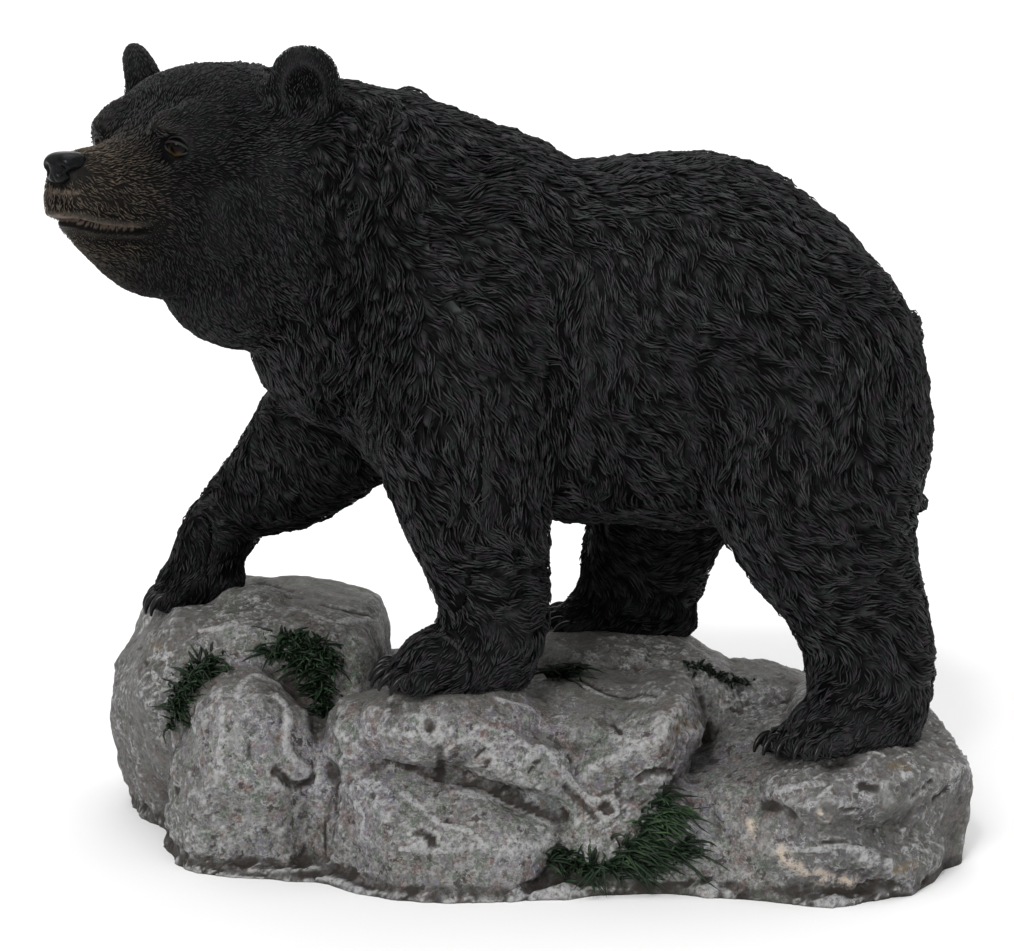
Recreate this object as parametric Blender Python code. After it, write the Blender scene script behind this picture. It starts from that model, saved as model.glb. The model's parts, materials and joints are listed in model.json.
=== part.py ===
"""A cast resin figurine: a black bear walking over a bed of rocks.

Two castings, bonded at the four paws: the bear, and the rock bed that is its plinth. The origin is on the
underside, below the middle of the bear. +X runs from the nose to the rump, +Y is the far side, +Z is up.
"""

import math

import bmesh
import bpy
import numpy as np
from mathutils import Euler, Matrix, Vector, kdtree, noise

# Driving dimensions, in metres.
BEAR_LENGTH = 0.178  # brow to rump: every share of the bear is counted from it
ROCK_LENGTH = 0.186  # the rock bed along X
ROCK_DEPTH = 0.099  # the rock bed along Y
ROCK_HEIGHT = 0.050  # underside to the top of the highest boulder
RIM_HEIGHT = 0.0020  # the lip round the foot of the rock bed
SOLE_SINK = 0.0018  # how far a sole is bedded in the rock
BOND_GAP = 0.0003  # the glue line between a sole and the rock
HEAD_TURN = math.radians(50)  # how far the head is turned towards the near side

LOCK_LENGTH = 0.018  # a lock of fur on the trunk
LOCK_WIDTH = 0.0085
LOCK_DEPTH = 0.0018
LOCK_SPACING = 0.0064
ROCK_LUMP = 0.0011  # how far the weathering stands out and in
ROCK_LUMP_SPAN = 0.009
SEAM_WIDTH = 0.0045  # the cleft between two stones
SEAM_DEPTH = 0.0034

SPARE_FOOT = 0.004  # clay below the underside, cut away at the end

BEAR_VOXEL = 0.0011
ROCK_VOXEL = 0.0015
BEAR_FACES = 6400
ROCK_FACES = 3750
BEAR_SOFTENING = 10  # rounds of smoothing where masses of clay join
ROCK_SOFTENING = 2

SHARE = BEAR_LENGTH / 178  # one share of the bear's length
ROCK_SHARE = Vector((ROCK_LENGTH / 186, ROCK_DEPTH / 99, ROCK_HEIGHT / 50))  # shares of the rock bed

# The bear stands with its far forepaw on the highest stone, at this share of both heights.
STAND = 45.4
BEAR_RISE = STAND * (ROCK_SHARE.z - SHARE)

# The bear's trunk: x, y, z of the middle, half width and half height of each oval, in shares.
TRUNK = [
    (-47, -1, 122, 12, 14),
    (-42, -1, 121.5, 21, 24),
    (-34, -1, 121, 27, 31),
    (-23, 0, 119.5, 31.5, 37),
    (-10, 0, 116, 34, 40.5),
    (6, 0, 110.5, 35, 40),
    (22, 0, 107.5, 36, 40),
    (40, 0, 107, 36.5, 41),
    (55, 0, 106, 35.5, 38),
    (66, 0, 104.5, 32.5, 32.2),
    (75, 0, 103, 27.5, 23.5),
    (81.5, 0, 102, 20, 15),
    (86, 0, 101.5, 9, 7),
]
NECK = [
    (22, 0, 114, 14, 14),
    (10, 0, 116, 24, 24),
    (-3, 0, 121, 28.5, 29),
    (-18, -1, 129, 30, 30),
    (-32, -3, 134, 29, 29.3),
    (-44, -6, 138, 27.5, 28),
    (-54, -9, 141, 25, 23.5),
    (-62, -11, 143, 17, 15),
]
NEAR_FRONT_LEG = [
    (-8, -7, 142, 7, 9),
    (-11, -13, 132, 15, 19),
    (-11, -17, 118, 18.5, 23),
    (-9.5, -20.5, 102, 19, 22.5),
    (-8, -22.5, 88, 17, 19.2),
    (-6, -24, 75, 14.5, 15.6),
    (-3.8, -25, 64, 12.4, 12.9),
    (-2.8, -25.5, 56, 11.3, 11.9),
    (-3.5, -26, 49, 10.8, 11.5),
    (-5, -26.5, 43, 9.5, 10),
]
FAR_FRONT_LEG = [
    (-6, 8, 128, 8, 9),
    (-14, 13, 119, 16, 19),
    (-26, 17, 103, 17, 19.5),
    (-38.5, 20, 88.5, 15, 17.2),
    (-50, 21.5, 76, 12.5, 13.6),
    (-59, 22, 67, 10.5, 10.6),
    (-66, 22, 58.5, 9.6, 9.4),
    (-69.5, 22, 52, 9, 9),
]
NEAR_HIND_LEG = [
    (55, -6, 128, 8, 12),
    (58, -13, 118, 17, 23),
    (61, -17.5, 102, 19.5, 26.5),
    (62.5, -20.5, 86, 18.5, 25),
    (65, -22.5, 71.5, 15.8, 20.2),
    (70.5, -24, 59, 13.2, 16.2),
    (74.6, -25, 48, 12, 14.8),
    (75, -26.5, 38, 11.4, 14),
    (74, -27, 32, 9.8, 12),
]
FAR_HIND_LEG = [
    (50, 6, 122, 9, 13),
    (49, 13, 112, 17, 24),
    (45, 18, 95, 18.5, 24),
    (39.5, 21, 79, 16, 20),
    (34, 23, 64, 13.5, 16),
    (30.8, 24, 52, 12, 13.6),
    (29, 24.5, 43, 11, 12.5),
]
LEGS = (NEAR_FRONT_LEG, FAR_FRONT_LEG, NEAR_HIND_LEG, FAR_HIND_LEG)

# Clay laid on the lofts: middle, radii, and turn in degrees, in shares.
MASSES = [
    ((-37, 0, 111), (19.5, 25, 23), (0, 0, 0)),  # chest
    ((-56, -9, 124), (17, 21, 15), (0, 0, 30)),  # throat
    ((-21, 0, 134), (21, 19, 24.5), (0, 0, 0)),  # shoulder hump
    ((-13, -20, 112), (21, 15, 25), (0, 12, 0)),  # near shoulder
    ((-20, 19, 112), (20, 14, 24), (0, 25, 0)),  # far shoulder
    ((63, -17, 93), (24, 18, 27), (0, -8, 0)),  # near haunch
    ((56, 17, 95), (25, 17, 27), (0, -6, 0)),  # far haunch
    ((74, 0, 98), (13, 27, 23), (0, 0, 0)),  # rump
    ((84.5, 0, 109), (4.5, 5, 7.5), (0, 18, 0)),  # tail
    ((20, 0, 88), (34, 28, 22), (0, 0, 0)),  # belly
]

# The head along its own forward axis: forward, top, bottom and half width, in shares.
EAR_MIDDLE = Vector((-59.5, -6, 0))
HEAD = [
    (-24, 154, 128, 13),
    (-17, 162.5, 119, 22),
    (-8, 166.5, 115.5, 26.5),
    (1, 167, 116, 26.5),
    (9, 166, 118, 23.5),
    (16, 163.5, 120, 19.5),
    (22, 159.5, 122, 15.8),
    (27, 155.6, 124.5, 12.8),
    (32, 153.4, 127.5, 10.6),
    (36.5, 152.6, 130.2, 9.2),
    (40.6, 151.8, 133, 7.2),
    (43.8, 149.2, 136.2, 4),
]
# Masses of the head: forward, left and height of the middle, radii along the same axes, in shares.
HEAD_MASSES = [
    ((7, 14, 137), (15, 11, 14)),  # near cheek
    ((7, -14, 137), (15, 11, 14)),  # far cheek
    ((12.5, 10.5, 153), (13, 9.5, 9.5)),  # near temple
    ((12.5, -10.5, 153), (13, 9.5, 9.5)),  # far temple
    ((3, 0, 156), (17, 23.5, 12.6)),  # crown
    ((21.5, 8.5, 156), (6, 4.5, 4)),  # near brow
    ((21.5, -8.5, 156), (6, 4.5, 4)),  # far brow
    ((38, 4.2, 141.5), (5.5, 3.6, 5)),  # near lip
    ((38, -4.2, 141.5), (5.5, 3.6, 5)),  # far lip
    ((43.4, 0, 148), (3.1, 4.4, 3.7)),  # nose
]
# An ear, upwards: height, how far its middle stands forward of its foot, half width and half thickness.
EAR_LEFT = 24
EAR_FORWARD = -0.6
EAR_SPLAY = math.radians(40)
EAR = [
    (151, -0.5, 6, 5.4),
    (158.5, 0.4, 7.4, 5.4),
    (163, 1, 7.9, 4.7),
    (167, 1.9, 7.6, 3.4),
    (170.4, 2.8, 5.8, 2.3),
    (172.6, 3.2, 2.9, 1.6),
]

# The paws: middle of the sole, heading in degrees from -X towards the near side, lean towards that side,
# half length, half width, height at the wrist, in shares.
PAWS = {
    "near_front": ((-11, -27.5, 38), 14, 4, 17, 11.5, 12.5),
    "far_front": ((-69.5, 21.5, STAND), 6, 0, 12, 10, 10),
    "near_hind": ((71, -31, 27), 32, 10, 18, 11.5, 12),
    "far_hind": ((26, 26.5, 33.8), 4, 0, 18, 11, 12),
}
TOES = 5
TOE_RADII = (5.6, 2.55, 3.5)
CLAW = [(0, 4.6, 1.7), (2.4, 4.2, 1.6), (4.2, 2.6, 1.3), (5.2, 0.8, 0.8)]  # forward, height, radius

# The eye, in shares: forward, left and height of its middle, how deep its socket is and how far the ball stands out.
EYE = (24.6, 12, 151.5)
SOCKET_DEPTH = 1.5
EYE_BULGE = 1.9
# The folds behind the legs: middle, radii, turn in degrees, depth, in shares.
FOLDS = [
    ((10.5, -34, 100), (5, 12, 34), 4, 3),
    ((43, -36, 92), (4.5, 12, 26), -10, 2.4),
    ((4, 34, 100), (5, 12, 30), 14, 3),
    ((34, 36, 92), (4.5, 12, 26), -10, 2.4),
]
# Where the lie of the fur changes, in shares: wholly within the first reach, not at all beyond the second.
FACE_REACH = (12, 30)
EAR_REACH = (7, 14)
PAW_REACH = (12, 26)
HEAD_REACH = (26, 42)
LEG_HEIGHTS = (66, 86)
PAW_FUR = 0.15  # the length of the fur on the paws, against the trunk's
SHORTEST_FUR = 0.1

# The stones of the rock bed: middle, half sizes, turn in degrees, squareness, in shares. The last value is
# the boulder that a stone is part of: only different boulders have a cleft between them.
STONES = [
    ((-57.4, 17, 20.5), (32, 29, 27.5), (0, -1, 4), 0.6, 0),  # left boulder
    ((-50, 25, 33), (24.5, 20, 16), (0, 3, -4), 0.55, 0),  # its upper block
    ((-55.3, -12, 17), (18, 20, 25), (0, 0, 0), 0.86, 1),  # standing egg stone
    ((-25, -21, 25), (14.5, 15, 13.5), (0, 0, 0), 0.8, 2),  # below the near fore paw
    ((-12.5, -27.5, 9.5), (25.5, 18, 14.5), (0, 6, -4), 0.78, 3),  # low middle stone
    ((4, -18, 25), (22, 24.5, 9.5), (0, 28, 6), 0.7, 4),  # slab that dips to the right
    ((27, -17, 24.5), (17.5, 25.5, 9.5), (0, -36, -6), 0.7, 4),  # slab that dips to the left
    ((13, -10, 26), (27, 25, 10.5), (0, 3, 0), 0.66, 4),  # the bed on top of the two
    ((28, 20, 17), (33, 26, 18), (0, 6, 0), 0.65, 5),  # below the far hind paw
    ((66.5, -9, 8), (30.5, 40, 18.5), (2, 3, -4), 0.76, 6),  # right boulder
    ((76.5, -9, 13), (21, 30, 17.2), (0, 0, 6), 0.5, 6),  # its upper block
    ((64, 20, 10), (27, 19, 17.5), (0, 6, -12), 0.75, 7),  # back right stone
    ((-20, 27, 14), (26, 17, 17), (0, 4, 4), 0.8, 8),  # back middle stone
    ((33, -28, 9), (15, 15, 12), (0, 0, 0), 0.8, 9),  # the hollow between the stones
    ((4, 2, 6), (80, 38, 14), (0, 0, 0), 0.8, 9),  # the ground that they lie in
]
RIM = [
    (-88, 18), (-82, 2), (-76, -5), (-73, -17), (-66, -27), (-54, -31), (-38, -32.5), (-31, -39), (-22, -43.5),
    (-8, -45.5), (8, -43.5), (22, -41.5), (38, -43), (52, -47.5), (65, -51), (76, -47), (88, -38), (94.5, -23),
    (98, -4), (95, 14), (86, 30), (70, 38), (50, 42), (28, 46), (6, 46.5), (-14, 45), (-34, 47), (-56, 48),
    (-76, 43), (-86, 32),
]
CHIPS = 9  # flat places on each stone
CHIP_REACH = (0.86, 0.96)  # how far out they lie, against the stone's own size
CHIP_SHARE = 0.8  # how flat they are worn
STONE_WAVE = 0.05
SEAT_DEPTH = 9  # the stone bed under a paw, in shares
SEAT_REACH = (1.22, 1.35)  # its half length and half width, against the paw's
# Grass that grows from the clefts: foot of the tuft, reach, height, how many blades.
TUFTS = [
    ((30, -42, 8), 13, 12, 15),
    ((-44, -13, 36), 9, 9, 11),
    ((-73, -8, 34), 6, 9, 7),
    ((58, 30, 22), 9, 5, 9),
    ((14, 5, 36), 7, 6, 8),
]
BLADE_RADIUS = 1.7


def clear_scene():
    for old in list(bpy.data.objects):
        bpy.data.objects.remove(old, do_unlink=True)


def smooth_rows(rows, steps, closed=False):
    """Catmull-Rom curve through the rows, `steps` rows to each stretch."""
    rows = np.array(rows, float)
    if closed:
        padded = np.vstack([rows[-1], rows, rows[0], rows[1]])
    else:
        padded = np.vstack([2 * rows[0] - rows[1], rows, 2 * rows[-1] - rows[-2]])
    out = []
    for i in range(len(padded) - 3):
        a, b, c, d = padded[i : i + 4]
        for t in np.arange(steps) / steps:
            bend = (2 * a - 5 * b + 4 * c - d) * t**2
            out.append(0.5 * (2 * b + (c - a) * t + bend + (3 * b - a - 3 * c + d) * t**3))
    if not closed:
        out.append(rows[-1])
    return out


def ring_frame(centre, tangent, side_way, side, rise):
    """The matrix that carries a unit circle to an oval across `tangent`, `side` wide and `rise` high."""
    n = Vector(tangent).normalized()
    s = (Vector(side_way) - n * n.dot(Vector(side_way))).normalized()
    u = n.cross(s)
    frame = Matrix((s * side, u * rise, n)).transposed().to_4x4()
    frame.translation = centre
    return frame


def loft(bm, rows, side_way, steps=4, sides=24):
    """A closed skin through ovals. Each row is x, y, z of the centre, half width, half height, in shares."""
    rows = [row * SHARE for row in smooth_rows(rows, steps)]
    centres = [Vector(row[:3]) for row in rows]
    frames = []
    for i, row in enumerate(rows):
        tangent = centres[min(i + 1, len(rows) - 1)] - centres[max(i - 1, 0)]
        frames.append(ring_frame(centres[i], tangent, side_way, row[3], row[4]))
    start = bmesh.ops.create_circle(bm, segments=sides, radius=1, matrix=frames[0])["verts"]
    edges = list({e for v in start for e in v.link_edges})
    caps = [edges]
    for before, after in zip(frames, frames[1:]):
        grown = bmesh.ops.extrude_edge_only(bm, edges=edges)["geom"]
        verts = [g for g in grown if isinstance(g, bmesh.types.BMVert)]
        edges = [g for g in grown if isinstance(g, bmesh.types.BMEdge) and all(v in verts for v in g.verts)]
        bmesh.ops.transform(bm, matrix=after @ before.inverted(), verts=verts)
    caps.append(edges)
    for cap in caps:
        bmesh.ops.contextual_create(bm, geom=cap)


def mass(bm, middle, radii, turn=Matrix.Identity(3), detail=3):
    """An ellipsoid of clay: middle and radii in shares, turned by the matrix."""
    place = Matrix.Translation(Vector(middle) * SHARE) @ turn.to_4x4()
    size = Matrix.Diagonal((*[r * SHARE for r in radii], 1))
    bmesh.ops.create_icosphere(bm, subdivisions=detail, radius=1, matrix=place @ size)


def degrees(turn):
    return Euler([math.radians(a) for a in turn]).to_matrix()


def head_place(forward, left, height):
    """A place on the head, in shares, from its own axes."""
    c, s = math.cos(HEAD_TURN), math.sin(HEAD_TURN)
    return EAR_MIDDLE + Vector((-forward * c + left * s, -forward * s - left * c, height))


def head(bm):
    rows = []
    for forward, top, bottom, half in HEAD:
        rows.append((*head_place(forward, 0, (top + bottom) / 2), half, (top - bottom) / 2))
    across = head_place(0, 1, 0) - head_place(0, 0, 0)
    loft(bm, rows, across)
    turn = Matrix.Rotation(HEAD_TURN + math.pi, 3, "Z")
    for middle, radii in HEAD_MASSES:
        mass(bm, head_place(*middle), radii, turn)


def ear_way(side):
    """The way that an ear's cup faces: side is 1 for the left ear and -1 for the right."""
    out = head_place(math.cos(EAR_SPLAY), side * math.sin(EAR_SPLAY), 0) - head_place(0, 0, 0)
    return out.normalized()


def ear(bm, side):
    way = ear_way(side)
    foot = head_place(EAR_FORWARD, EAR_LEFT * side, 0)
    rows = []
    for height, lean, half, thick in EAR:
        rows.append((*(foot + way * lean + Vector((0, 0, height))), half, thick))
    loft(bm, rows, way.cross(Vector((0, 0, 1))))


def paw_frame(name):
    """The paw's own axes: forward, left and up, with the sole's middle as the origin, in shares."""
    middle, heading, lean = PAWS[name][:3]
    turn = Matrix.Rotation(math.radians(heading + 180), 4, "Z") @ Matrix.Rotation(math.radians(lean), 4, "X")
    return Matrix.Translation(middle) @ turn


def paw(bm, name):
    length, width, height = PAWS[name][3:]
    frame = paw_frame(name)
    turn = frame.to_3x3()
    mass(bm, frame @ Vector((-0.08 * length, 0, 0.42 * height)), (0.86 * length, width, 0.78 * height), turn)
    mass(bm, frame @ Vector((-0.62 * length, 0, 0.3 * height)), (0.42 * length, 0.8 * width, 0.55 * height), turn)
    for i in range(TOES):
        across = 2 * i / (TOES - 1) - 1
        left = across * (width - TOE_RADII[1] * 0.7)
        forward = length - TOE_RADII[0] * (1 + 0.35 * across**2)
        fan = Matrix.Rotation(across * 0.16, 3, "Z")
        mass(bm, frame @ Vector((forward, left, TOE_RADII[2] * 0.9)), TOE_RADII, turn @ fan)
        mass(bm, frame @ Vector((forward - 5, left * 0.9, 4.6)), (6, 2.4, 2.9), turn @ fan)
        rows = []
        for reach, up, radius in CLAW:
            tip = frame @ Vector((forward + TOE_RADII[0] * 0.55 + reach, left * (1 + reach * 0.012), up))
            rows.append((*tip, radius, radius))
        loft(bm, rows, frame.to_3x3() @ Vector((0, 1, 0)), 2, 10)


def bear_clay():
    bm = bmesh.new()
    across = (0, 1, 0)
    loft(bm, TRUNK, across)
    loft(bm, NECK, across)
    for leg in LEGS:
        loft(bm, leg, across)
    for middle, radii, turn in MASSES:
        mass(bm, middle, radii, degrees(turn))
    head(bm)
    for side in (1, -1):
        ear(bm, side)
    for name in PAWS:
        paw(bm, name)
    bmesh.ops.recalc_face_normals(bm, faces=bm.faces)
    return bm


def stone(bm, middle, half, turn, square, seed):
    """A weathered stone: a ball squared up, chipped flat in places, in shares of the rock bed."""
    made = bmesh.ops.create_icosphere(bm, subdivisions=4, radius=1)["verts"]
    chips = []
    for _ in range(CHIPS):
        way = noise.random_unit_vector()
        chips.append((way, CHIP_REACH[0] + (CHIP_REACH[1] - CHIP_REACH[0]) * noise.random()))
    for v in made:
        way = v.co.normalized()
        v.co = [math.copysign(abs(c) ** square, c) for c in way]
        for chip, reach in chips:
            over = v.co.dot(chip) - reach
            if over > 0:
                v.co -= chip * over * CHIP_SHARE
        v.co *= 1 + STONE_WAVE * noise.fractal(way * 1.6 + Vector((seed * 7.3, 0, 0)), 1, 2, 3)
    place = Matrix.Translation(Vector(middle) * ROCK_SHARE) @ degrees(turn).to_4x4()
    size = Matrix.Diagonal((*(Vector(half) * ROCK_SHARE), 1))
    bmesh.ops.transform(bm, matrix=place @ size, verts=made)


def seat(bm, name):
    """The stone below a paw, as high as the sole and as wide, so that the paw is bedded in it."""
    length, width, _ = PAWS[name][3:]
    frame = Matrix.Translation((0, 0, BEAR_RISE / SHARE)) @ paw_frame(name)
    middle = frame @ Vector((0.02 * length, 0, SOLE_SINK / SHARE - SEAT_DEPTH))
    mass(bm, middle, (SEAT_REACH[0] * length, SEAT_REACH[1] * width, SEAT_DEPTH), frame.to_3x3())


def tuft(bm, foot, reach, height, blades):
    """A tuft of stout blades, that fan out from its foot."""
    across = Vector((0, 1, 0))
    base = Vector(foot) * ROCK_SHARE / SHARE
    for i in range(blades):
        lean = (2 * i / (blades - 1) - 1) + 0.25 * (noise.random() - 0.5)
        depth = 0.5 * (noise.random() - 0.5)
        rise = height * (0.7 + 0.5 * noise.random())
        rows = []
        for t in (0, 0.35, 0.7, 1):
            point = Vector((lean * reach * t * (0.6 + 0.4 * t), depth * reach * t, rise * t * (1.35 - 0.5 * t) - 2))
            rows.append((*(base + point + Vector((lean * reach * 0.35, 0, 0))), *[BLADE_RADIUS * (1.1 - 0.6 * t)] * 2))
        loft(bm, rows, across, 2, 8)


def rock_clay():
    bm = bmesh.new()
    noise.seed_set(11)
    for seed, (middle, half, turn, square, _) in enumerate(STONES):
        stone(bm, middle, half, turn, square, seed)
    outline = [Vector((*point, 0)) * ROCK_SHARE for point in smooth_rows(RIM, 3, True)]
    foot = [bm.verts.new((p.x, p.y, -SPARE_FOOT)) for p in outline]
    plate = bmesh.ops.contextual_create(bm, geom=foot)["faces"]
    top = bmesh.ops.extrude_face_region(bm, geom=plate)["geom"]
    raised = [g for g in top if isinstance(g, bmesh.types.BMVert)]
    bmesh.ops.translate(bm, vec=(0, 0, RIM_HEIGHT + SPARE_FOOT), verts=raised)
    for name in PAWS:
        seat(bm, name)
    for row in TUFTS:
        tuft(bm, *row)
    bmesh.ops.recalc_face_normals(bm, faces=bm.faces)
    return bm


def as_object(name, bm):
    mesh = bpy.data.meshes.new(name)
    bm.to_mesh(mesh)
    bm.free()
    made = bpy.data.objects.new(name, mesh)
    bpy.context.scene.collection.objects.link(made)
    return made


def evaluated(obj):
    """The object's mesh with its modifiers applied."""
    graph = bpy.context.evaluated_depsgraph_get()
    return bpy.data.meshes.new_from_object(obj.evaluated_get(graph))


def one_skin(obj, voxel, rounds):
    """Joins overlapping clay to one skin with softened joins, in the object's own mesh."""
    remesh = obj.modifiers.new("one skin", "REMESH")
    remesh.mode = "VOXEL"
    remesh.voxel_size = voxel
    smooth = obj.modifiers.new("soft joins", "SMOOTH")
    smooth.factor = 0.5
    smooth.iterations = rounds
    obj.data = evaluated(obj)
    obj.modifiers.clear()


def thinned(obj, faces):
    """Collapses the object's mesh to about `faces` triangles."""
    count = len(obj.data.polygons) * 2
    thin = obj.modifiers.new("thinned", "DECIMATE")
    thin.ratio = faces / count
    obj.data = evaluated(obj)
    obj.modifiers.clear()


def points_of(mesh):
    """The mesh's vertices and their normals, as arrays."""
    points = np.empty(len(mesh.vertices) * 3)
    mesh.vertices.foreach_get("co", points)
    normals = np.empty(len(mesh.vertices) * 3)
    mesh.vertex_normals.foreach_get("vector", normals)
    return points.reshape(-1, 3), normals.reshape(-1, 3)


def ramp(value, low, high):
    """0 at `low`, 1 at `high`, eased between."""
    t = min(max((value - low) / (high - low), 0), 1)
    return t * t * (3 - 2 * t)


def fur_way(place):
    """The way that the fur lies at a place given in shares."""
    x, y, z = place
    back = Vector((1, 0, -0.12 - 1.1 * ramp(abs(y), 10, 30) - 0.5 * ramp(-z, -120, -80)))
    leg = 1 - ramp(z, *LEG_HEIGHTS)
    way = back.normalized().lerp(Vector((0.15, 0, -1)), leg)
    nose = head_place(44, 0, 147)
    near_head = 1 - ramp((place - head_place(8, 0, 144)).length, *HEAD_REACH)
    from_nose = (place - nose).normalized() + Vector((0, 0, -0.45 * ramp(-z, -150, -128)))
    way = way.lerp(from_nose.normalized(), near_head)
    for name in PAWS:
        frame = paw_frame(name)
        reach = (place - frame.translation).length
        way = way.lerp(frame.to_3x3() @ Vector((0.8, 0, -0.6)), 1 - ramp(reach, *PAW_REACH))
    return way


def fur_size(place):
    """How long the fur is at a place, against the trunk's: short on the face and the paws."""
    face = 1 - ramp((place - head_place(36, 0, 144)).length, *FACE_REACH)
    size = 1 - face
    for side in (1, -1):
        tip = head_place(EAR_FORWARD, EAR_LEFT * side, 166)
        size = min(size, ramp((place - tip).length, *EAR_REACH))
    for name in PAWS:
        near_paw = 1 - ramp((place - paw_frame(name).translation).length, *PAW_REACH)
        size = min(size, 1 - (1 - PAW_FUR) * near_paw)
    return size


def lay_locks(points, normals):
    """How far each point is raised by locks of fur that overlap like shingles."""
    raised = np.zeros(len(points))
    tree = kdtree.KDTree(len(points))
    for i, point in enumerate(points):
        tree.insert(point, i)
    tree.balance()
    order = np.random.default_rng(5).permutation(len(points))
    taken = np.zeros(len(points), bool)
    for i in order:
        if taken[i]:
            continue
        centre = Vector(points[i])
        for _, j, _ in tree.find_range(centre, LOCK_SPACING):
            taken[j] = True
        place = centre / SHARE
        size = fur_size(place)
        if size < SHORTEST_FUR:
            continue
        normal = Vector(normals[i])
        swirl = 0.75 * noise.noise(place * 0.045) + 0.5 * noise.noise(place * 0.13)
        way = fur_way(place)
        way = (way - normal * way.dot(normal)).normalized()
        way.rotate(Matrix.Rotation(swirl * 1.2, 3, normal))
        across = normal.cross(way)
        half_length = LOCK_LENGTH / 2 * (0.45 + 0.55 * size) * (0.8 + 0.4 * noise.noise(place * 0.9))
        half_width = LOCK_WIDTH / 2 * (0.6 + 0.4 * size)
        bend = 0.5 * noise.noise(place * 0.31 + Vector((9, 0, 0)))
        near = [j for _, j, _ in tree.find_range(centre, half_length * 1.1)]
        step = points[near] - points[i]
        along = step @ np.array(way) / half_length
        aside = step @ np.array(across) / half_width + bend * along**2 * 2
        width = np.sqrt(np.clip(1 - along**2, 0, 1)) * (1 - 0.25 * along)
        body = np.clip(1 - (aside / np.maximum(width, 0.05)) ** 2, 0, 1)
        lift = np.clip((along + 1) / 1.6, 0, 1) * np.clip((1 - along) * 2.4, 0, 1)
        facing = normals[near] @ np.array(normal) > 0.2
        bump = LOCK_DEPTH * size * body * lift * facing * (np.abs(along) < 1)
        raised[near] = np.maximum(raised[near], bump)
    return raised - 0.35 * LOCK_DEPTH


def dent(points, middle, radii, turn, push):
    """Moves points inside an ellipsoid by `push`, most at its middle. All in shares, on metre points."""
    local = (points / SHARE - np.array(middle)) @ np.array(turn) / np.array(radii)
    depth = np.clip(1 - (local**2).sum(axis=1), 0, 1) ** 1.5
    return depth[:, None] * np.array(push) * SHARE


def carve_bear(bear):
    """Locks of fur, ear cups, eye sockets, the mouth line and the folds behind the legs."""
    points, normals = points_of(bear.data)
    moved = points + normals * lay_locks(points, normals)[:, None]
    turn = Matrix.Rotation(HEAD_TURN + math.pi, 3, "Z")
    forward = head_place(1, 0, 0) - head_place(0, 0, 0)
    for side in (1, -1):
        way = ear_way(side)
        cup = head_place(EAR_FORWARD, EAR_LEFT * side, 165.2) + way * 3
        ear_turn = Matrix.Rotation(math.atan2(way.y, way.x), 3, "Z")
        moved += dent(points, cup, (6, 5.6, 6.2), ear_turn, -way * 3.4)
        eye = head_place(EYE[0], EYE[1] * side, EYE[2])
        left = head_place(0, side, 0) - head_place(0, 0, 0)
        moved += dent(points, eye, (5, 3.4, 2.8), turn, -(left + forward) * SOCKET_DEPTH)
        moved += dent(points, eye, (2.6, 2.6, 2.2), turn, (left + forward) * EYE_BULGE)
        corner = head_place(33, 8.5 * side, 136.4)
        moved += dent(points, corner, (11, 4, 1.5), turn, -left * 1.3)
        nostril = head_place(45, 2.2 * side, 147)
        moved += dent(points, nostril, (2.2, 1.4, 1.3), turn, -forward * 1.3)
    for middle, radii, lean, depth in FOLDS:
        inward = -math.copysign(depth, middle[1])
        moved += dent(points, middle, radii, degrees((0, lean, 0)), (0, inward, 0))
    bear.data.vertices.foreach_set("co", moved.ravel())


def seams(points):
    """How deep the clefts are at each point: most where two stones are equally near, none by the paws."""
    gaps = []
    for middle, half, turn, square, _ in STONES:
        half = Vector(half) * ROCK_SHARE
        local = (points - np.array(Vector(middle) * ROCK_SHARE)) @ np.array(degrees(turn)) / np.array(half)
        reach = (np.abs(local) ** (2 / square)).sum(axis=1) ** (square / 2)
        gaps.append((reach - 1) * sum(half) / 3)
    boulder_of = np.array([row[-1] for row in STONES])
    gaps = np.array([np.array(gaps)[boulder_of == boulder].min(axis=0) for boulder in set(boulder_of)])
    gaps.sort(axis=0)
    cleft = np.clip(1 - (gaps[1] - gaps[0]) / SEAM_WIDTH, 0, 1)
    for name in PAWS:
        sole = np.array(paw_frame(name).translation) * SHARE + np.array((0, 0, BEAR_RISE))
        away = np.linalg.norm(points - sole, axis=1) / SHARE
        cleft *= np.clip((away - PAW_REACH[0]) / (PAW_REACH[1] - PAW_REACH[0]), 0, 1)
    return SEAM_DEPTH * cleft * (points[:, 2] > 2 * RIM_HEIGHT)


def carve_rock(rock):
    """Weathering: clefts between the stones, lumps, bedding steps and pits."""
    points, normals = points_of(rock.data)
    points -= normals * seams(points)[:, None]
    for i, (point, normal) in enumerate(zip(points, normals)):
        place = Vector(point) / ROCK_LUMP_SPAN
        lump = noise.fractal(place, 0.9, 2.1, 3)
        bedding = noise.noise(Vector((place.x * 0.4, place.y * 0.4, place.z * 2.6)))
        pit = max(0, 0.42 - noise.voronoi(place * 0.8)[0][0]) * (noise.noise(place * 0.5) > 0)
        points[i] += normal * ROCK_LUMP * (lump + 0.5 * bedding - 1.6 * pit)
    rock.data.vertices.foreach_set("co", points.ravel())


def flat_foot(obj):
    """Cuts the rock bed flat at Z = 0 and closes the cut."""
    bm = bmesh.new()
    bm.from_mesh(obj.data)
    everything = bm.verts[:] + bm.edges[:] + bm.faces[:]
    cut = bmesh.ops.bisect_plane(bm, geom=everything, plane_co=(0, 0, 0), plane_no=(0, 0, 1), clear_inner=True)
    rim = [g for g in cut["geom_cut"] if isinstance(g, bmesh.types.BMEdge)]
    bmesh.ops.edgeloop_fill(bm, edges=rim)
    bmesh.ops.triangulate(bm, faces=[f for f in bm.faces if len(f.verts) > 3])
    bmesh.ops.recalc_face_normals(bm, faces=bm.faces)
    bm.to_mesh(obj.data)
    bm.free()


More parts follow.
